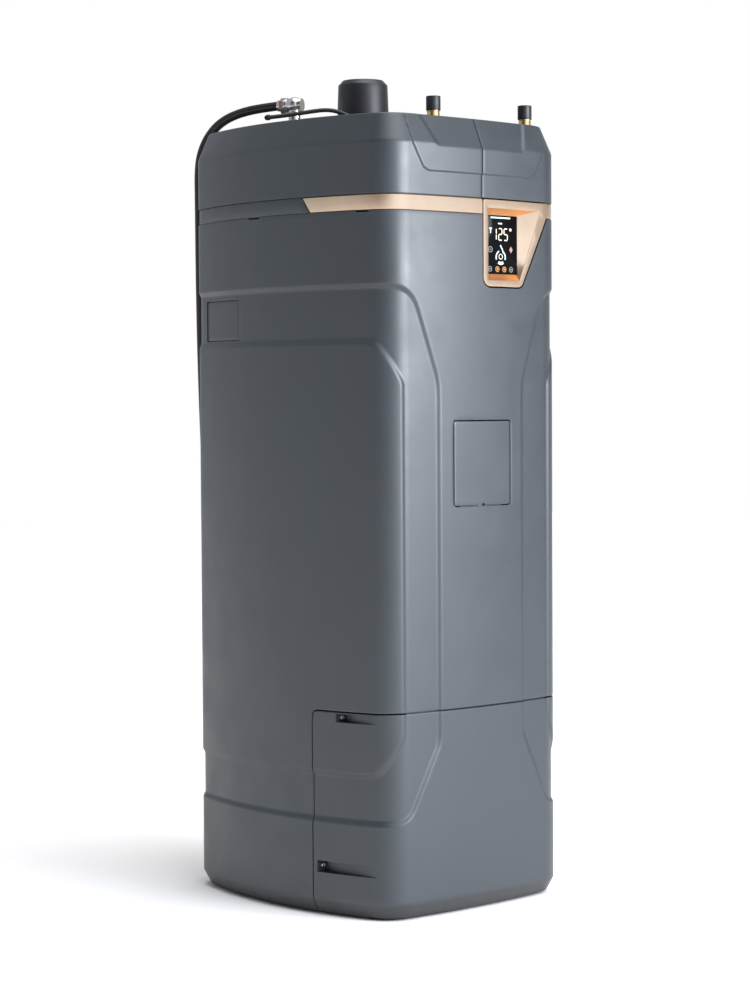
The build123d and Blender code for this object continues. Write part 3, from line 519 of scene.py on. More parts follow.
# Colour, roughness, scale of the grain, and what differs from the usual finish.
FINISHES = {
    "black_plastic": ((0.010, 0.013, 0.017), 0.42, 500, dict(wear=1.8)),
    "grey_plastic": ((0.21, 0.22, 0.23), 0.48, 600, dict()),
    "red_button": ((0.55, 0.02, 0.012), 0.25, 900, dict(depth=0.02, coat=0.4)),
    "zinc_steel": ((0.62, 0.63, 0.64), 0.28, 300,
                   dict(metal=1.0, depth=0.02, vary=0.08, wear=1.15)),
    "painted_steel": ((0.12, 0.13, 0.14), 0.46, 420, dict(depth=0.10, wear=1.6)),
    "stainless": ((0.62, 0.61, 0.60), 0.26, 90,
                  dict(metal=1.0, depth=0.015, vary=0.07, wear=1.1, stretch=(1, 1, 14))),
    "brass": ((0.76, 0.55, 0.25), 0.27, 240, dict(metal=1.0, depth=0.02, wear=1.12)),
    "copper_pipe": ((0.78, 0.40, 0.25), 0.30, 120,
                    dict(metal=1.0, depth=0.02, vary=0.16, wear=1.1, stretch=(1, 1, 6),
                         patches=26.0)),
    "tank_polymer": ((0.62, 0.62, 0.58), 0.42, 260, dict(depth=0.12)),
    "rubber": ((0.016, 0.016, 0.018), 0.72, 460, dict(depth=0.12, specular=0.3)),
    "cord_jacket": ((0.010, 0.0105, 0.012), 0.36, 380, dict(depth=0.03, wear=1.4)),
    "cast_zinc": ((0.60, 0.61, 0.62), 0.27, 340,
                  dict(metal=1.0, depth=0.05, vary=0.08, wear=1.15)),
    "motor_cast": ((0.085, 0.10, 0.115), 0.50, 300,
                   dict(metal=0.2, depth=0.16, vary=0.12, wear=1.7)),
}
for slot, (color, rough, grain, look) in FINISHES.items():
    MATERIALS[slot] = finish_of(slot, color, rough, grain, **look)


def dress(piece, slot, body, *nodes):
    """Gives a piece its slot's material and its body, and hides the nodes that it stands for."""
    piece.data.materials.clear()
    piece.data.materials.append(MATERIALS[slot])
    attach(piece, body)
    if nodes:
        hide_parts(*nodes)
    return piece


# --- the moulded skin ---
CHANNEL_OUTER = rounded([(116.5, 361), (202, 196), (420, 196), (420, 1303), (188, 1303),
                         (116.5, 1104)], [70, 55, 0, 0, 72, 160])
CHANNEL_PANEL = rounded([(218, 378), (262, 303), (440, 303), (440, 1181), (262, 1181),
                         (218, 1100)], [40, 12, 0, 0, 10, 25])
CHANNEL_SLOPE = 11.0
# Middle height and half height of the two bands behind.
REAR_BANDS = ((249.5, 53.5), (1242, 61))


def channel_depth(x, y, z):
    """Depth of the recessed channel: round the side panels in front, two bands behind."""
    u = np.abs(x)
    front = np.maximum(signed_distance(CHANNEL_OUTER, u, z), -signed_distance(CHANNEL_PANEL, u, z))
    rear = np.minimum(*(np.abs(z - middle) - half for middle, half in REAR_BANDS))
    t = np.clip(-np.where(y < 0, front, rear) / CHANNEL_SLOPE, 0, 1)
    return CHANNEL * (0.35 * t + 0.65 * smooth(t))


def cover_distance(y, z):
    """Signed distance to the lower cover's outline in side view, negative in the cover."""
    qy, qz = y - (COVER_REAR - COVER_R), z - (COVER_TOP - COVER_R)
    outside = np.hypot(np.maximum(qy, 0), np.maximum(qz, 0))
    return np.minimum(np.maximum(qy, qz), 0) + outside - COVER_R


def foot_inset(z):
    return FOOT_IN * np.clip((FOOT_Z - z) / (FOOT_Z - CASE_Z0), 0, 1)


def skin(name, plan, rows, drop):
    """Closed shell on the plan: the outer face dropped by drop(x, y, z), the inner a wall behind."""
    z = np.array(rows)[:, None] * np.ones(len(plan))
    x, y = (np.ones(len(rows))[:, None] * plan[:, k] for k in (0, 1))
    channel, inset = channel_depth(x, y, z), foot_inset(z)
    outer = inset + channel + drop(x, y, z)
    inner = inset + channel + WALL
    grids = []
    for depth in (outer, inner):
        grids.append(np.stack([x - plan[:, 2] * depth, y - plan[:, 3] * depth, z], -1))
    stacked = np.concatenate([grids[0], grids[1][::-1]])
    n = len(rows)
    return make_object(name, stacked.reshape(-1, 3), strips(2 * n, len(plan)))


def box_outline(x0, x1, z0, z1, radii, steps=7):
    """A rectangle's rounded outline, from its lower left corner round by the right."""
    return rounded([(x0, z0), (x1, z0), (x1, z1), (x0, z1)], radii, steps)


HATCH_HOLE = box_outline(-HATCH_X - HATCH_GAP, HATCH_X + HATCH_GAP, HATCH_Z[0] - HATCH_GAP,
                         HATCH_Z[1] + HATCH_GAP, [8, 8, 4, 4])
PORT_HOLE = box_outline(*PORT_Y, *PORT_Z, [2, 2, 2, 2], 3)
REAR_HOLE = box_outline(-REAR_X, REAR_X, *REAR_Z, [6, 6, 6, 6])
SLOTS = ((270, 320, 19, 56), (270, 320, 232, 262), (258, 276, -330, -240))
SLOT_Z = (1447.5, 1453)
# (inset, z) round the tongue that stands behind the lower cover's top edge.
TONGUE = ((10.3, 416), (12.3, 416), (12.3, 440), (CHANNEL + 0.2, 440), (CHANNEL + 0.2, 432),
          (10.3, 432))


def jacket_drop(x, y, z):
    """Rounded edges of the jacket's openings, each looked for on its own wall."""
    inside = np.full(x.shape, 99.0)
    for hit, distance in (
            (y < 60, cover_distance(y, z) - SEAM),
            ((np.abs(x) < 130) & (y < -300), signed_distance(HATCH_HOLE, x, z)),
            (np.abs(x) > 280, signed_distance(PORT_HOLE, y, z)),
            ((np.abs(x) < 220) & (y > 290), signed_distance(REAR_HOLE, x, z)),
            (z > 1400, BAND_Z0 - z)):
        inside = np.where(hit, np.minimum(inside, np.maximum(distance, 0)), inside)
    return edge_drop(inside)


def bezel_corners(top, margin):
    """Corners of the bezel up to a height, all moved outwards by a margin."""
    (x0, x1), low, high = BEZEL_X, BEZEL_Z0 - margin, top + margin
    return [(x0 - margin, low), (BEZEL_TURN + SLANT * margin, low),
            (x1 + margin, BAND_Z0 - SLANT * margin), (x1 + margin, high), (x0 - margin, high)]


def main_jacket():
    plan = stations(
        ticks([(0, 100, 9), (100, 240, 2.5)], [(HATCH_X + HATCH_GAP, 1)]),
        ticks([(-270, 270, 14)], [(COVER_REAR + SEAM, 1), (PORT_Y[0], -1), (PORT_Y[1], 1)]),
        ticks([(0, 240, 14)], [(REAR_X, 1)]))
    rows = ticks([(CASE_Z0, FOOT_Z, 7), (FOOT_Z, 190, 12), (190, 385, 2.5), (385, 1095, 12),
                  (1095, 1310, 2.5), (1310, BAND_Z0, 10)],
                 [(COVER_TOP + SEAM, 1), (HATCH_Z[0] - HATCH_GAP, -1), (HATCH_Z[1] + HATCH_GAP, 1),
                  (PORT_Z[0], -1), (PORT_Z[1], 1), (REAR_Z[0], -1), (REAR_Z[1], 1)])
    rows = [z for z in rows if z < BAND_Z0 - 1.2] + [BAND_Z0 - k for k in CLUSTER[::-1]]
    body = skin("jacket", plan, rows, jacket_drop)
    edge, top = COVER_REAR + SEAM, COVER_TOP + SEAM
    cutters = [
        prism("cover_cut", box_outline(-PAST, edge, -10, top, [0, 0, COVER_R + SEAM, 0]),
              -PAST, PAST, "x"),
        prism("hatch_cut", HATCH_HOLE, *NEAR, "y"),
        prism("bezel_cut", rounded(bezel_corners(BAND_Z1, 3.0), [23, 22, 0, 0, 6]), *NEAR, "y"),
        prism("port_left_cut", PORT_HOLE, *NEAR, "x"),
        prism("port_right_cut", PORT_HOLE, *FAR, "x"),
        prism("rear_cut", REAR_HOLE, *FAR, "y"),
    ]
    for k, (inner, outer, y0, y1) in enumerate(SLOTS):
        for side in (-1, 1):
            x0, x1 = sorted((side * inner, side * outer))
            cutters.append(brick(f"slot_cut_{k}_{side}", x0, x1, y0, y1, *SLOT_Z))
    combine(body, cutters)
    loops = [[(x * (1 - inset / FRONT_R), float(front_y(x * (1 - inset / FRONT_R), inset)), z)
              for inset, z in TONGUE] for x in np.linspace(-205, 205, 30)]
    combine(body, [loops_object("tongue", loops, cap=True)], "UNION")
    dress(body, "casing_plastic", "heater", "main_jacket")


# --- the lower cover, with its screw pockets ---
# Screw x, seat y, screw z, the space's floor and ceiling, and its inner wall's x behind and in front.
POCKETS = {"upper": (268.0, -188.5, 414.0, (405.0, 422.5), (261.0, 258.0)),
           "lower": (279.0, -139.0, 103.0, (90.5, 115.0), (271.0, 257.0))}
POCKET_MOUTH, LINER, SCREW_R = -284.0, 2.5, 2.9


def pocket(name, side, margin, reach, z0, z1, label):
    """A screw pocket's space, or with a margin the wall round it, out to reach(y)."""
    _, seat, _, _, (floor_rear, floor_front) = POCKETS[name]
    y0, y1 = POCKET_MOUTH - margin, seat + margin
    ys = np.linspace(y1, y0, 14)
    points = [(floor_front - margin, y0), (floor_rear - margin, y1)]
    points += [(reach(float(y)), float(y)) for y in ys]
    if side < 0:
        points = [(-x, y) for x, y in points][::-1]
    return prism(label, points, z0, z1, "z")


def plan_x(y, inset):
    """Half width of the plan at y, moved inwards."""
    if y > SIDE_END[1]:
        return side_x(y, inset)
    r = CORNER_R - inset
    return CORNER_C[0] + sqrt(max(r * r - (y - CORNER_C[1]) ** 2, 0))


def cover_drop(_, y, z):
    return edge_drop(np.maximum(-cover_distance(y, z), 0))


def lower_cover():
    plan = stations(
        ticks([(0, 100, 9), (100, 240, 2.5)]),
        ticks([(-270, -100, 6), (-100, 270, 60)], [(COVER_REAR, -1)]),
        ticks([(0, 240, 60)]), (44, 8))
    rows = ticks([(CASE_Z0, FOOT_Z, 4), (FOOT_Z, 190, 9), (190, 385, 2.5), (385, 430, 8)],
                 [(COVER_TOP, -1)])
    body = skin("lower_cover_skin", plan, rows, cover_drop)
    keep = prism("cover_keep", box_outline(-PAST, COVER_REAR, -10, COVER_TOP, [0, 0, COVER_R, 0]),
                 -PAST, PAST, "x")
    combine(body, [keep], "INTERSECT")
    walls, spaces = [], []
    for name, (screw_x, seat, screw_z, (z0, z1), _) in POCKETS.items():
        for side in (-1, 1):
            walls.append(pocket(name, side, LINER, lambda y: plan_x(y, 2.0), z0 - LINER,
                                z1 + LINER, f"wall_{name}_{side}"))
            spaces.append(pocket(name, side, 0, lambda y: 340.0, z0, z1, f"space_{name}_{side}"))
            spaces.append(turned(f"hole_{name}_{side}", [(SCREW_R, -2), (SCREW_R, 6)],
                                 (side * screw_x, seat, screw_z), 32, "y"))
    combine(body, walls, "UNION")
    combine(body, spaces)
    dress(body, "casing_plastic", "lower_cover", "lower_service_cover")


# --- the hatch ---
HINGE_X, HINGE_Y, HINGE_Z, PIN_R = 81.0, -330.2, 1018.2, 1.5
HATCH_WALL, NOTCH_R = 3.5, 6


def hatch():
    outline = box_outline(-HATCH_X, HATCH_X, *HATCH_Z, [7, 7, 3, 3])
    xs = ticks([(-86, 86, 5)], [(-HATCH_X, 1), (HATCH_X, -1)])
    zs = ticks([(842, 1027, 6)], [(HATCH_Z[0], 1), (HATCH_Z[1], -1)])
    x, z = np.meshgrid(xs, zs)
    drop = edge_drop(np.maximum(-signed_distance(outline, x, z), 0))
    front = np.stack([x, front_y(x) + drop, z], -1)
    back = np.stack([x, front_y(x) + HATCH_WALL, z], -1)
    leaf = slab("hatch_leaf", front, back)
    combine(leaf, [prism("hatch_keep", outline, *NEAR, "y")], "INTERSECT")
    notch = turned("hatch_notch", [(NOTCH_R, -345), (NOTCH_R, -320)], (0, 0, HATCH_Z[0] - 1.5), 48, "y")
    combine(leaf, [notch])
    pins = [turned(f"hatch_pin_{side}", [(PIN_R, side * HINGE_X - 7), (PIN_R, side * HINGE_X + 6)],
                   (0, HINGE_Y, HINGE_Z), 32, "x") for side in (-1, 1)]
    combine(leaf, pins, "UNION")
    dress(leaf, "casing_plastic", "hatch", "access_cover")


# --- the top cover ---
VISOR_OUTER = rounded([(-148, 1531), (148, 1531), (163, 1538), (191, 1588), (195, 1660),
                       (-195, 1660), (-191, 1588), (-163, 1538)], [9, 9, 12, 18, 0, 0, 18, 12])
VISOR_INNER = rounded([(-121, 1594), (121, 1594), (150, 1661), (-150, 1661)], [4, 4, 0, 0])
VISOR, VISOR_RUN, INNER_RUN = 3.0, 4.6, 0.4
SPLIT, NECK_R = 0.83, 45.5
ROOF_HOLES = ((COLD, 15), (HOT, 15), (ELBOW, 11.2), (BARB, 4.2))
ROOF_SPAN = (1600, 1700)


def top_covers():
    """Both halves of the top cover, cut from one bell with the raised visor in front."""
    plan = stations(ticks([(0, 100, 8), (100, 240, 2)], [(SPLIT, 1)]),
                    ticks([(-270, 270, 20)]), ticks([(0, 240, 16)], [(SPLIT, 1)]))
    bend = rounded([(0, BAND_Z1 + 1), (0, KNEE_Z), (ROOF_IN, HEIGHT), (90, HEIGHT)],
                   [0, 20, 5, 0], 8, False)
    # Nine points round each bend.
    knee, roof = bend[1:10], bend[10:19]
    base = [(0.8, BAND_Z1 + 1), (0.2, BAND_Z1 + 1.4), (0, BAND_Z1 + 2.2)]
    profile = np.concatenate([base, spaced(base[-1], knee[0], 1.6), knee,
                              spaced(knee[-1], roof[0], 1.6), roof])
    outer = []
    for inset, z in profile:
        x, y = plan[:, 0], plan[:, 1]
        level = np.full(len(plan), z)
        across = x - plan[:, 2] * inset
        raised = np.maximum(signed_distance(VISOR_OUTER, across, level),
                            -INNER_RUN * signed_distance(VISOR_INNER, across, level))
        lift = VISOR * smooth(-raised / VISOR_RUN) * (y < 0)
        seam = edge_drop(np.maximum(np.abs(x) - SPLIT, 0))
        depth = inset - lift + seam * (z < HEIGHT - 1)
        outer.append(np.stack([x - plan[:, 2] * depth, y - plan[:, 3] * depth, level], -1))
    inner = []
    for inset, z in [(0, BAND_Z1 + 1), (0, KNEE_Z - 3), (ROOF_IN, HEIGHT - WALL)]:
        depth = inset + WALL
        inner.append(np.stack([plan[:, 0] - plan[:, 2] * depth, plan[:, 1] - plan[:, 3] * depth,
                               np.full(len(plan), z)], -1))
    bell = loops_object("bell", inner[::-1] + outer, cap=True)
    holes = [turned("neck_hole", [(NECK_R, z) for z in ROOF_SPAN], (*NECK, 0), 96)]
    for k, (centre, r) in enumerate(ROOF_HOLES):
        holes.append(turned(f"roof_hole_{k}", [(r, z) for z in ROOF_SPAN], (*centre, 0), 64))
    combine(bell, holes)
    for side, word in ((-1, "left"), (1, "right")):
        half = bell if side > 0 else copy_of(bell, "top_left")
        x0, x1 = sorted((side * SPLIT, side * 400))
        combine(half, [brick(f"half_{word}", x0, x1, -400, 400, 1400, 1700)], "INTERSECT")
        half.name = f"top_shell_{word}"
        dress(half, "casing_plastic", "heater", f"top_cover_{word}")


def spaced(start, end, step):
    """Points along a straight line, without its ends' duplicates."""
    start, end = np.ravel(start), np.ravel(end)
    n = max(1, int(np.linalg.norm(end - start) / step))
    return np.array([start + (end - start) * i / n for i in range(1, n)])


# --- copper band and bezel ---
TRIM_Z0, TRIM_Z1 = BAND_Z0 + 1.2, BAND_Z1 - 1.2
BAND_END, BAND_LEAN = -110, 22
RUN_PARTS, SCREEN_DEPTH = 12, 26


def band_profile():
    """(inset, z) round the band's section, slightly crowned, with rounded edges."""
    middle = (TRIM_Z0 + TRIM_Z1) / 2
    return rounded([(4, TRIM_Z0), (1.1, TRIM_Z0), (0.6, middle), (1.1, TRIM_Z1), (4, TRIM_Z1)],
                   [0, 1.3, 0, 1.3, 0], 5, False)


def band(name, side, start_x):
    """Copper band from start_x round the front corner to its slanted end on that side."""
    section = band_profile()
    base = stations(ticks([(0, 240, 6)]), ticks([(-270, 0, 6)]), [])
    half = base[base[:, 0] >= 0] if side > 0 else base[base[:, 0] <= 0][::-1]
    half = np.array([s for s in half if s[1] < -100])
    first = [(start_x, float(front_y(start_x)), 0)]
    if side < 0:
        first.append((0.0, -HALF_D, 0))
        keep = half[half[:, 0] < -1]
    else:
        keep = half[half[:, 0] > start_x + 1]
    path = np.concatenate([with_normals(first), keep])
    loops = []
    for x, y, nx, ny in path:
        loop = []
        for inset, z in section:
            if y > SIDE_END[1]:
                end = BAND_END - BAND_LEAN * (BAND_Z1 - z) / (BAND_Z1 - BAND_Z0)
                share = (y - SIDE_END[1]) / (path[-1][1] - SIDE_END[1])
                moved = SIDE_END[1] + (end - SIDE_END[1]) * share
                spot = with_normals([(side * side_x(moved), moved, 2)])[0]
                loop.append((spot[0] - spot[2] * inset, spot[1] - spot[3] * inset, z))
            else:
                loop.append((x - nx * inset, y - ny * inset, z))
        loops.append(loop)
    return loops_object(name, loops, 40.0, cap=True)


def divided(points, radii):
    """Rounded closed polygon with each straight run divided, the same count for every outline."""
    made, corners = [], []
    for k, (p, r) in enumerate(zip(points, radii)):
        sub = [points[k - 1], p, points[(k + 1) % len(points)]]
        corners.append(rounded(sub, [0, max(r, 0.02), 0], 5, False)[1:-1])
    for k, arc in enumerate(corners):
        made += [tuple(v) for v in arc]
        start, end = arc[-1], corners[(k + 1) % len(corners)][0]
        made += [tuple(start + (end - start) * i / RUN_PARTS) for i in range(1, RUN_PARTS)]
    return np.array(made)


def bezel():
    """Rim flush with the casing, four facets that fall to the screen, and a closed back."""
    def rim(margin):
        radii = [max(r - margin, 0.3) for r in (20, 19, 4, 1.5, 5)]
        return divided(bezel_corners(TRIM_Z1, -margin), radii)

    def mouth(margin):
        low, high = 1315.5 + margin, 1465 - margin
        points = [(18.5 + margin, low), (114 - 0.6 * margin, low), (184 - 1.1 * margin, high),
                  (172, high), (18.5 + margin, high)]
        return divided(points, [2.0, 2.0, 2.0, 0, 2.0])

    def on_front(outline, depth):
        return [(x, float(front_y(x)) + depth, z) for x, z in outline]

    def flat(outline, y):
        return [(x, y, z) for x, z in outline]

    (x0, x1), (z0, z1) = SCREEN_X, SCREEN_Z
    screen = divided([(x0, z0), (x1, z0), (x1, z1), (x1 - 8, z1), (x0, z1)],
                     [0.6, 0.6, 0.6, 0, 0.6])
    loops = [on_front(rim(0), 21), on_front(rim(0), 1.5), on_front(rim(0.15), 0.75),
             on_front(rim(0.6), 0.2), on_front(rim(1.4), 0.0),
             on_front(mouth(-1.0), 0.0), on_front(mouth(-0.35), 0.25), on_front(mouth(0), 1.0),
             flat(screen, SCREEN_Y), flat(screen, SCREEN_Y + SCREEN_DEPTH)]
    return loops_object("bezel_frame", loops, 30.0)


def copper_parts():
    left = dress(band("band_left", -1, 1.6), "copper_trim", "heater", "trim_band")
    rim = dress(bezel(), "copper_trim", "heater", "display_bezel")
    right = dress(band("band_right", 1, 204.2), "copper_trim", "heater")
    flagged(bpy.data.objects["key"], (left, rim, right))


# --- display ---
GLASS_Y = SCREEN_Y + 0.5
WARM, CYAN, PALE = (1.0, 0.84, 0.66), (0.66, 0.95, 1.0), (0.92, 0.92, 0.90)
AMBER, GREY, ROSE = (1.0, 0.45, 0.14), (0.46, 0.44, 0.38), (0.85, 0.36, 0.30)
SEGMENTS = {"1": "bc", "2": "abged", "5": "afgcd"}


def legend(name, outlines, color, strength):
    """Flat lit shapes just in front of the glass, all in one piece."""
    vertices, faces = [], []
    for outline in outlines:
        n, base = len(outline), len(vertices)
        for y in (GLASS_Y - 0.18, GLASS_Y + 0.05):
            vertices += [(x, y, z) for x, z in outline]
        faces += [tuple(base + k for k in range(n)), tuple(base + n + k for k in range(n))[::-1]]
        faces += [(base + k, base + n + k, base + n + (k + 1) % n, base + (k + 1) % n)
                  for k in range(n)]
    piece = make_object(name, vertices, faces)
    piece.data.materials.append(glowing(name + "_glow", color, strength))
    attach(piece, "heater")


def bar(x0, z0, x1, z1, width):
    """A stroke with pointed ends."""
    dx, dz = x1 - x0, z1 - z0
    long = hypot(dx, dz)
    ux, uz, h = dx / long, dz / long, width / 2
    return [(x0, z0), (x0 + ux * h - uz * h, z0 + uz * h + ux * h),
            (x1 - ux * h - uz * h, z1 - uz * h + ux * h), (x1, z1),
            (x1 - ux * h + uz * h, z1 - uz * h - ux * h), (x0 + ux * h + uz * h, z0 + uz * h - ux * h)]


def digit(symbol, x, z, w, h, stroke):
    """Seven-segment digit with its lower left corner at (x, z)."""
    m, gap = z + h / 2, stroke * 0.18
    ends = {"a": (x, z + h, x + w, z + h), "b": (x + w, m, x + w, z + h), "c": (x + w, z, x + w, m),
            "d": (x, z, x + w, z), "e": (x, z, x, m), "f": (x, m, x, z + h), "g": (x, m, x + w, m)}
    strokes = []
    for letter in SEGMENTS[symbol]:
        x0, z0, x1, z1 = ends[letter]
        long = hypot(x1 - x0, z1 - z0)
        ux, uz = (x1 - x0) / long * gap, (z1 - z0) / long * gap
        strokes.append(bar(x0 + ux, z0 + uz, x1 - ux, z1 - uz, stroke))
    return strokes


def arc_stroke(x, z, r, width, start=0.0, end=360.0, steps=28):
    """Ring or part of one, as short pieces."""
    pieces, low, high = [], r - width / 2, r + width / 2
    for k in range(steps):
        a, b = (radians(start + (end - start) * (k + i) / steps) for i in (0, 1))
        pieces.append([(x + reach * cos(t), z + reach * sin(t))
                       for reach, t in ((low, a), (high, a), (high, b), (low, b))])
    return pieces


def pill(x0, z0, x1, z1):
    """Bar with rounded ends."""
    radius = min(x1 - x0, z1 - z0) * 0.45
    return [tuple(v) for v in box_outline(x0, x1, z0, z1, [radius] * 4, 4)]


def dot(x, z, r):
    return [(x + r * cos(pi * k / 10), z + r * sin(pi * k / 10)) for k in range(20)]


def display():
    x0, x1, z0, z1 = SCREEN_X[0] + 0.3, SCREEN_X[1] - 0.3, SCREEN_Z[0] + 0.3, SCREEN_Z[1] - 0.3
    loops = []
    for margin, y in ((0, GLASS_Y + 3), (0, GLASS_Y + 0.7), (0.25, GLASS_Y + 0.2), (0.8, GLASS_Y)):
        outline = box_outline(x0 + margin, x1 - margin, z0 + margin, z1 - margin, [1.4] * 4, 5)
        loops.append([(x, y, z) for x, z in outline])
    glass = loops_object("screen", loops, 40.0, cap=True)
    dress(glass, "screen_glass", "heater", "display_glass")
    number = []
    for symbol, x in zip("125", (46.5, 63.5, 79.5)):
        number += digit(symbol, x, 1400.5, 10, 24, 2.4)
    number += arc_stroke(69.5, 1366, 5.2, 1.7)
    legend("display_number", number, WARM, 0.9)
    ring = (69.5, 1364.5, 13.5)
    lit = arc_stroke(*ring, 3.2, 112, 200, 12) + arc_stroke(*ring, 3.2, -20, 68, 12)
    lit += arc_stroke(*ring[:2], 12.6, 6.0, 236, 304, 10) + [bar(68, 1390.5, 76.5, 1377.5, 3.0)]
    lit += [pill(40, 1445.6, 98, 1448.6)]
    legend("display_ring", lit, CYAN, 1.1)
    small = [pill(62, 1433.6, 74, 1436.6), pill(95, 1420, 102, 1426), pill(35, 1422.6, 44, 1425.8),
             pill(38, 1414, 41, 1423)]
    legend("display_status", small, PALE, 0.6)
    dim = arc_stroke(39, 1380.5, 5.6, 1.4) + [pill(36, 1379.8, 42, 1381.2)]
    for x in (37.8, 100):
        dim += arc_stroke(x, 1339.6, 5.0, 1.3) + [pill(x - 2.4, 1338.6, x + 2.4, 1340.6)]
    legend("display_icons", dim, GREY, 0.35)
    warm = []
    for x in (59.5, 80):
        warm += arc_stroke(x, 1339.6, 5.0, 1.5) + [dot(x, 1339.6, 2.2)]
    legend("display_modes", warm, AMBER, 0.45)
    legend("display_alert", [[(95, 1381), (100, 1374), (105, 1381), (100, 1388)]], ROSE, 0.3)


# --- side port plates ---
PORT_GAP, PORT_SUNK, PORT_LIP = 1.5, 1.5, 7


def port_plate(side):
    """Blanking plate in the side window, with the lip that holds it behind the jacket's wall."""
    word = "left" if side < 0 else "right"

    def layer(inset, y, z):
        return np.stack([side * (HALF_W - SIDE_R + np.sqrt((SIDE_R - inset) ** 2 - y ** 2)), y, z], -1)

    y0, y1 = PORT_Y[0] + PORT_GAP, PORT_Y[1] - PORT_GAP
    z0, z1 = PORT_Z[0] + PORT_GAP, PORT_Z[1] - PORT_GAP
    y, z = np.meshgrid([v for v in ticks([(y0, y1, 8)], [(y0, 1), (y1, -1)]) if y0 <= v <= y1],
                       [v for v in ticks([(z0, z1, 8)], [(z0, 1), (z1, -1)]) if z0 <= v <= z1])
    outline = box_outline(y0, y1, z0, z1, [0, 0, 0, 0])
    drop = edge_drop(np.maximum(-signed_distance(outline, y, z), 0))
    plate = slab(f"port_plate_{word}", layer(CHANNEL + PORT_SUNK + drop, y, z),
                 layer(LAP + 0.3, y, z))
    y, z = np.meshgrid(np.linspace(PORT_Y[0] - PORT_LIP, PORT_Y[1] + PORT_LIP, 24),
                       [PORT_Z[0] - PORT_LIP, PORT_Z[1] + PORT_LIP])
    combine(plate, [slab("port_lip", layer(LAP, y, z), layer(LAP + 2.5, y, z))], "UNION")
    dress(plate, "casing_plastic", "heater", f"side_port_plate_{word}")


# --- cords ---
WHIP = [(-.1172, .1774, 1.7110), (-.1370, .2176, 1.7080), (-.1581, .2607, 1.7000),
        (-.1753, .2957, 1.6855), (-.1883, .3222, 1.6620), (-.1978, .3415, 1.6280),
        (-.2027, .3513, 1.5860), (-.2015, .3515, 1.4950), (-.2010, .3518, 1.3450),
        (-.1980, .3515, 1.1450), (-.1900, .3505, .9150), (-.1820, .3490, .6750),
        (-.1780, .3470, .4450), (-.1770, .3450, .2650), (-.1770, .3450, .1110)]
HOSE = [(-.0884, -.0210, 1.6740), (-.1032, -.0075, 1.6835), (-.1239, .0115, 1.6880),
        (-.1460, .0317, 1.6845), (-.1684, .0523, 1.6800), (-.1915, .0735, 1.6755),
        (-.2125, .0928, 1.6725)]


def cord_curve(name, route, diameter):
    data = bpy.data.curves.new(name, "CURVE")
    data.dimensions, data.bevel_depth, data.bevel_resolution = "3D", diameter / 2, 8
    data.resolution_u, data.use_fill_caps = 24, True
    spline = data.splines.new("NURBS")
    spline.points.add(len(route) - 1)
    for point, place in zip(spline.points, route):
        point.co = (*place, 1.0)
    spline.order_u, spline.use_endpoint_u = 3, True
    made = bpy.data.objects.new(name, data)
    COLLECTION.objects.link(made)
    return made


def cords():
    whip = cord_curve("whip_cord", WHIP, 0.020)
    dress(whip, "cord_jacket", "heater", "power_whip")
    hose = cord_curve("hose_cord", HOSE, 0.009)
    dress(hose, "cord_jacket", "heater", "overflow_hose")


# --- carried-over parts ---
def carried_over():
    """Every CAD node that still shows gets its slot's material and softened edges."""
    slots = {p["node"]: p["material_slot"] for p in frame["record"]["subparts"]}
    for name, node in frame["nodes"].items():
        node.data.materials.clear()
        node.data.materials.append(MATERIALS[slots[name]])
        if node.hide_render:
            continue
        weld = node.modifiers.new("weld", "WELD")
        weld.merge_threshold = 0.00002
        round_edges = node.modifiers.new("round_edges", "BEVEL")
        round_edges.width, round_edges.segments = 0.0005, 2
        round_edges.limit_method, round_edges.angle_limit = "ANGLE", radians(40)
        round_edges.use_clamp_overlap = True


# --- studio ---
def area_light(name, place, target, size, power, color):
    data = bpy.data.lights.new(name, "AREA")
    data.shape, data.size, data.size_y = "RECTANGLE", *size
    data.energy, data.color = power, color
    light = bpy.data.objects.new(name, data)
    light.location = place
    light.rotation_euler = (Vector(target) - Vector(place)).to_track_quat("-Z", "Y").to_euler()
    COLLECTION.objects.link(light)


def flagged(light, pieces):
    """Keeps one light off some pieces, as a flag on a stand does."""
    shaded = bpy.data.collections.new(light.name + "_flag")
    light.light_linking.receiver_collection = shaded
    for piece in pieces:
        shaded.objects.link(piece)
    for entry in shaded.collection_objects:
        entry.light_linking.link_state = "EXCLUDE"


def studio():
    floor_mesh = bpy.data.meshes.new("floor")
    far = 14.0
    corners = [(-far, -far, 0), (far, -far, 0), (far, far, 0), (-far, far, 0)]
    floor_mesh.from_pydata(corners, [], [(0, 1, 2, 3)])
    floor = bpy.data.objects.new("floor", floor_mesh)
    COLLECTION.objects.link(floor)
    n = Nodes("floor_paint")
    n.set(Base_Color=n.blend(n.spread(n.noise(2.0), 0, 1), (0.93, 0.93, 0.93), (0.95, 0.95, 0.95)),
          Roughness=0.9)
    floor_mesh.materials.append(n.material)
    room()
    area_light("key", (0.85, -3.74, 1.65), (0, 0, 1.2), (2.2, 1.2), 160, (0.93, 0.97, 1.04))
    sky = bpy.data.lights.new("sky", "SUN")
    sky.energy, sky.angle = 2.4, radians(60)
    lamp = bpy.data.objects.new("sky", sky)
    lamp.rotation_euler = (radians(12), radians(6), 0)
    COLLECTION.objects.link(lamp)
    SCENE.view_settings.view_transform = "Standard"


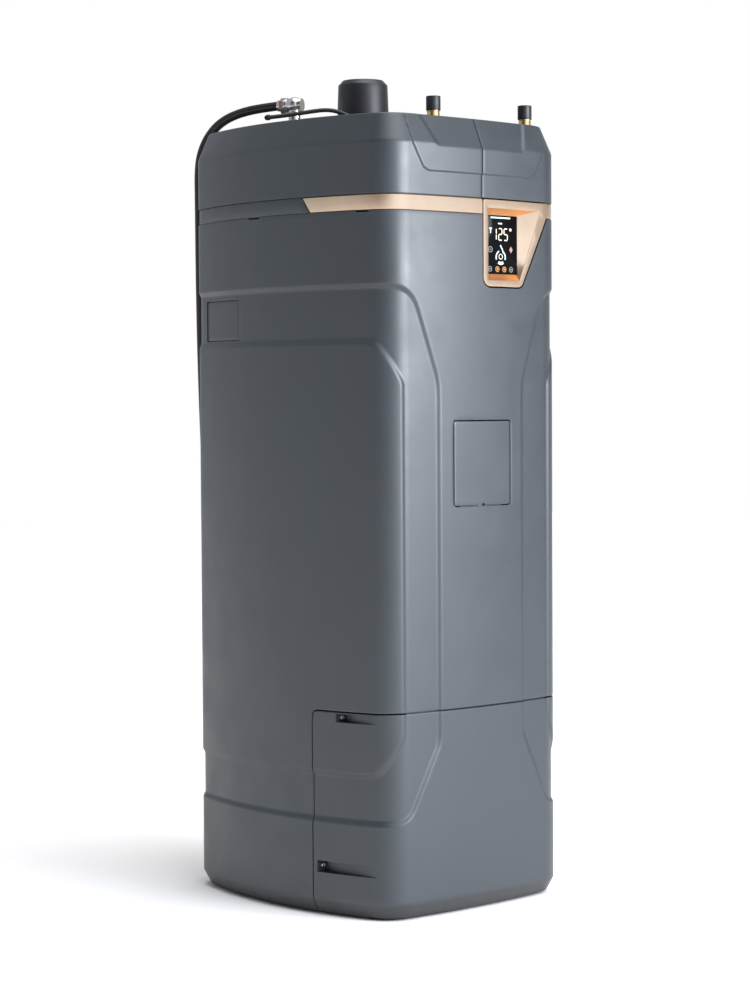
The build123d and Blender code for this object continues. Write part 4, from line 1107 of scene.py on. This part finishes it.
def room():
    """White to the camera. To the rest a grey room, dimmer towards the ceiling, with a bright
    front, a soft rear left and dark warm gaps at the left and the right."""
    world = bpy.data.worlds.new("studio")
    world.use_nodes = True
    n = Tree(world.node_tree)
    direction = n.add("TexCoord").outputs["Generated"]
    flat = n.vector("MULTIPLY", direction, (1, 1, 0)).outputs[0]
    level = n.vector("NORMALIZE", flat).outputs[0]
    parts = n.add("SeparateXYZ")
    n.link(direction, parts.inputs[0])
    up = parts.outputs["Z"]
    height = n.spread(up, 0.0, 1.0, 0.05, 0.9, interpolation_type="SMOOTHSTEP")
    above = n.spread(n.math("ABSOLUTE", up, 0.0), 0.0, 1.0, 0.10, 0.35)
    lit = n.blend(height, (0.72, 0.73, 0.75), (0.30, 0.31, 0.33))
    shadow = n.blend(above, (0.30, 0.09, 0.03), (0.04, 0.042, 0.05))
    for heading, wide, narrow, color in (
            ((-0.67, 0.74, 0), 75, 20, (0.52, 0.54, 0.56)),
            ((0.34, -0.94, 0), 62, 24, (1.42, 1.44, 1.60)),
            ((-0.94, -0.342, 0), 42, 14, shadow),
            ((0.94, -0.342, 0), 34, 10, (0.30, 0.22, 0.17))):
        toward = n.vector("DOT_PRODUCT", level, heading).outputs["Value"]
        lobe = n.spread(toward, 0.0, 1.0, cos(radians(wide)), cos(radians(narrow)),
                        interpolation_type="SMOOTHSTEP")
        lit = n.blend(lobe, lit, color)
    seen = n.add("LightPath").outputs["Is Camera Ray"]
    back = n.tree.nodes["Background"]
    n.link(n.blend(seen, lit, (1.0, 1.0, 1.0)), back.inputs["Color"])
    back.inputs["Strength"].default_value = 1.0
    SCENE.world = world


def camera():
    data = bpy.data.cameras.new("camera")
    data.lens, data.sensor_width, data.sensor_fit = 91.0, 36.0, "AUTO"
    data.clip_start, data.clip_end = 0.05, 60.0
    made = bpy.data.objects.new("camera", data)
    made.location = (-3.7185, -4.0641, 1.0628)
    yaw, pitch, roll = radians(-42.46), radians(-2.22), -0.00574
    turn = Matrix.Rotation(yaw, 3, "Z") @ Matrix.Rotation(pi / 2 + pitch, 3, "X")
    made.rotation_euler = (turn @ Matrix.Rotation(roll, 3, "Z")).to_euler()
    COLLECTION.objects.link(made)
    SCENE.camera = made


camera()
studio()
cords()
main_jacket()
lower_cover()
hatch()
top_covers()
copper_parts()
display()
port_plate(-1)
port_plate(1)
carried_over()
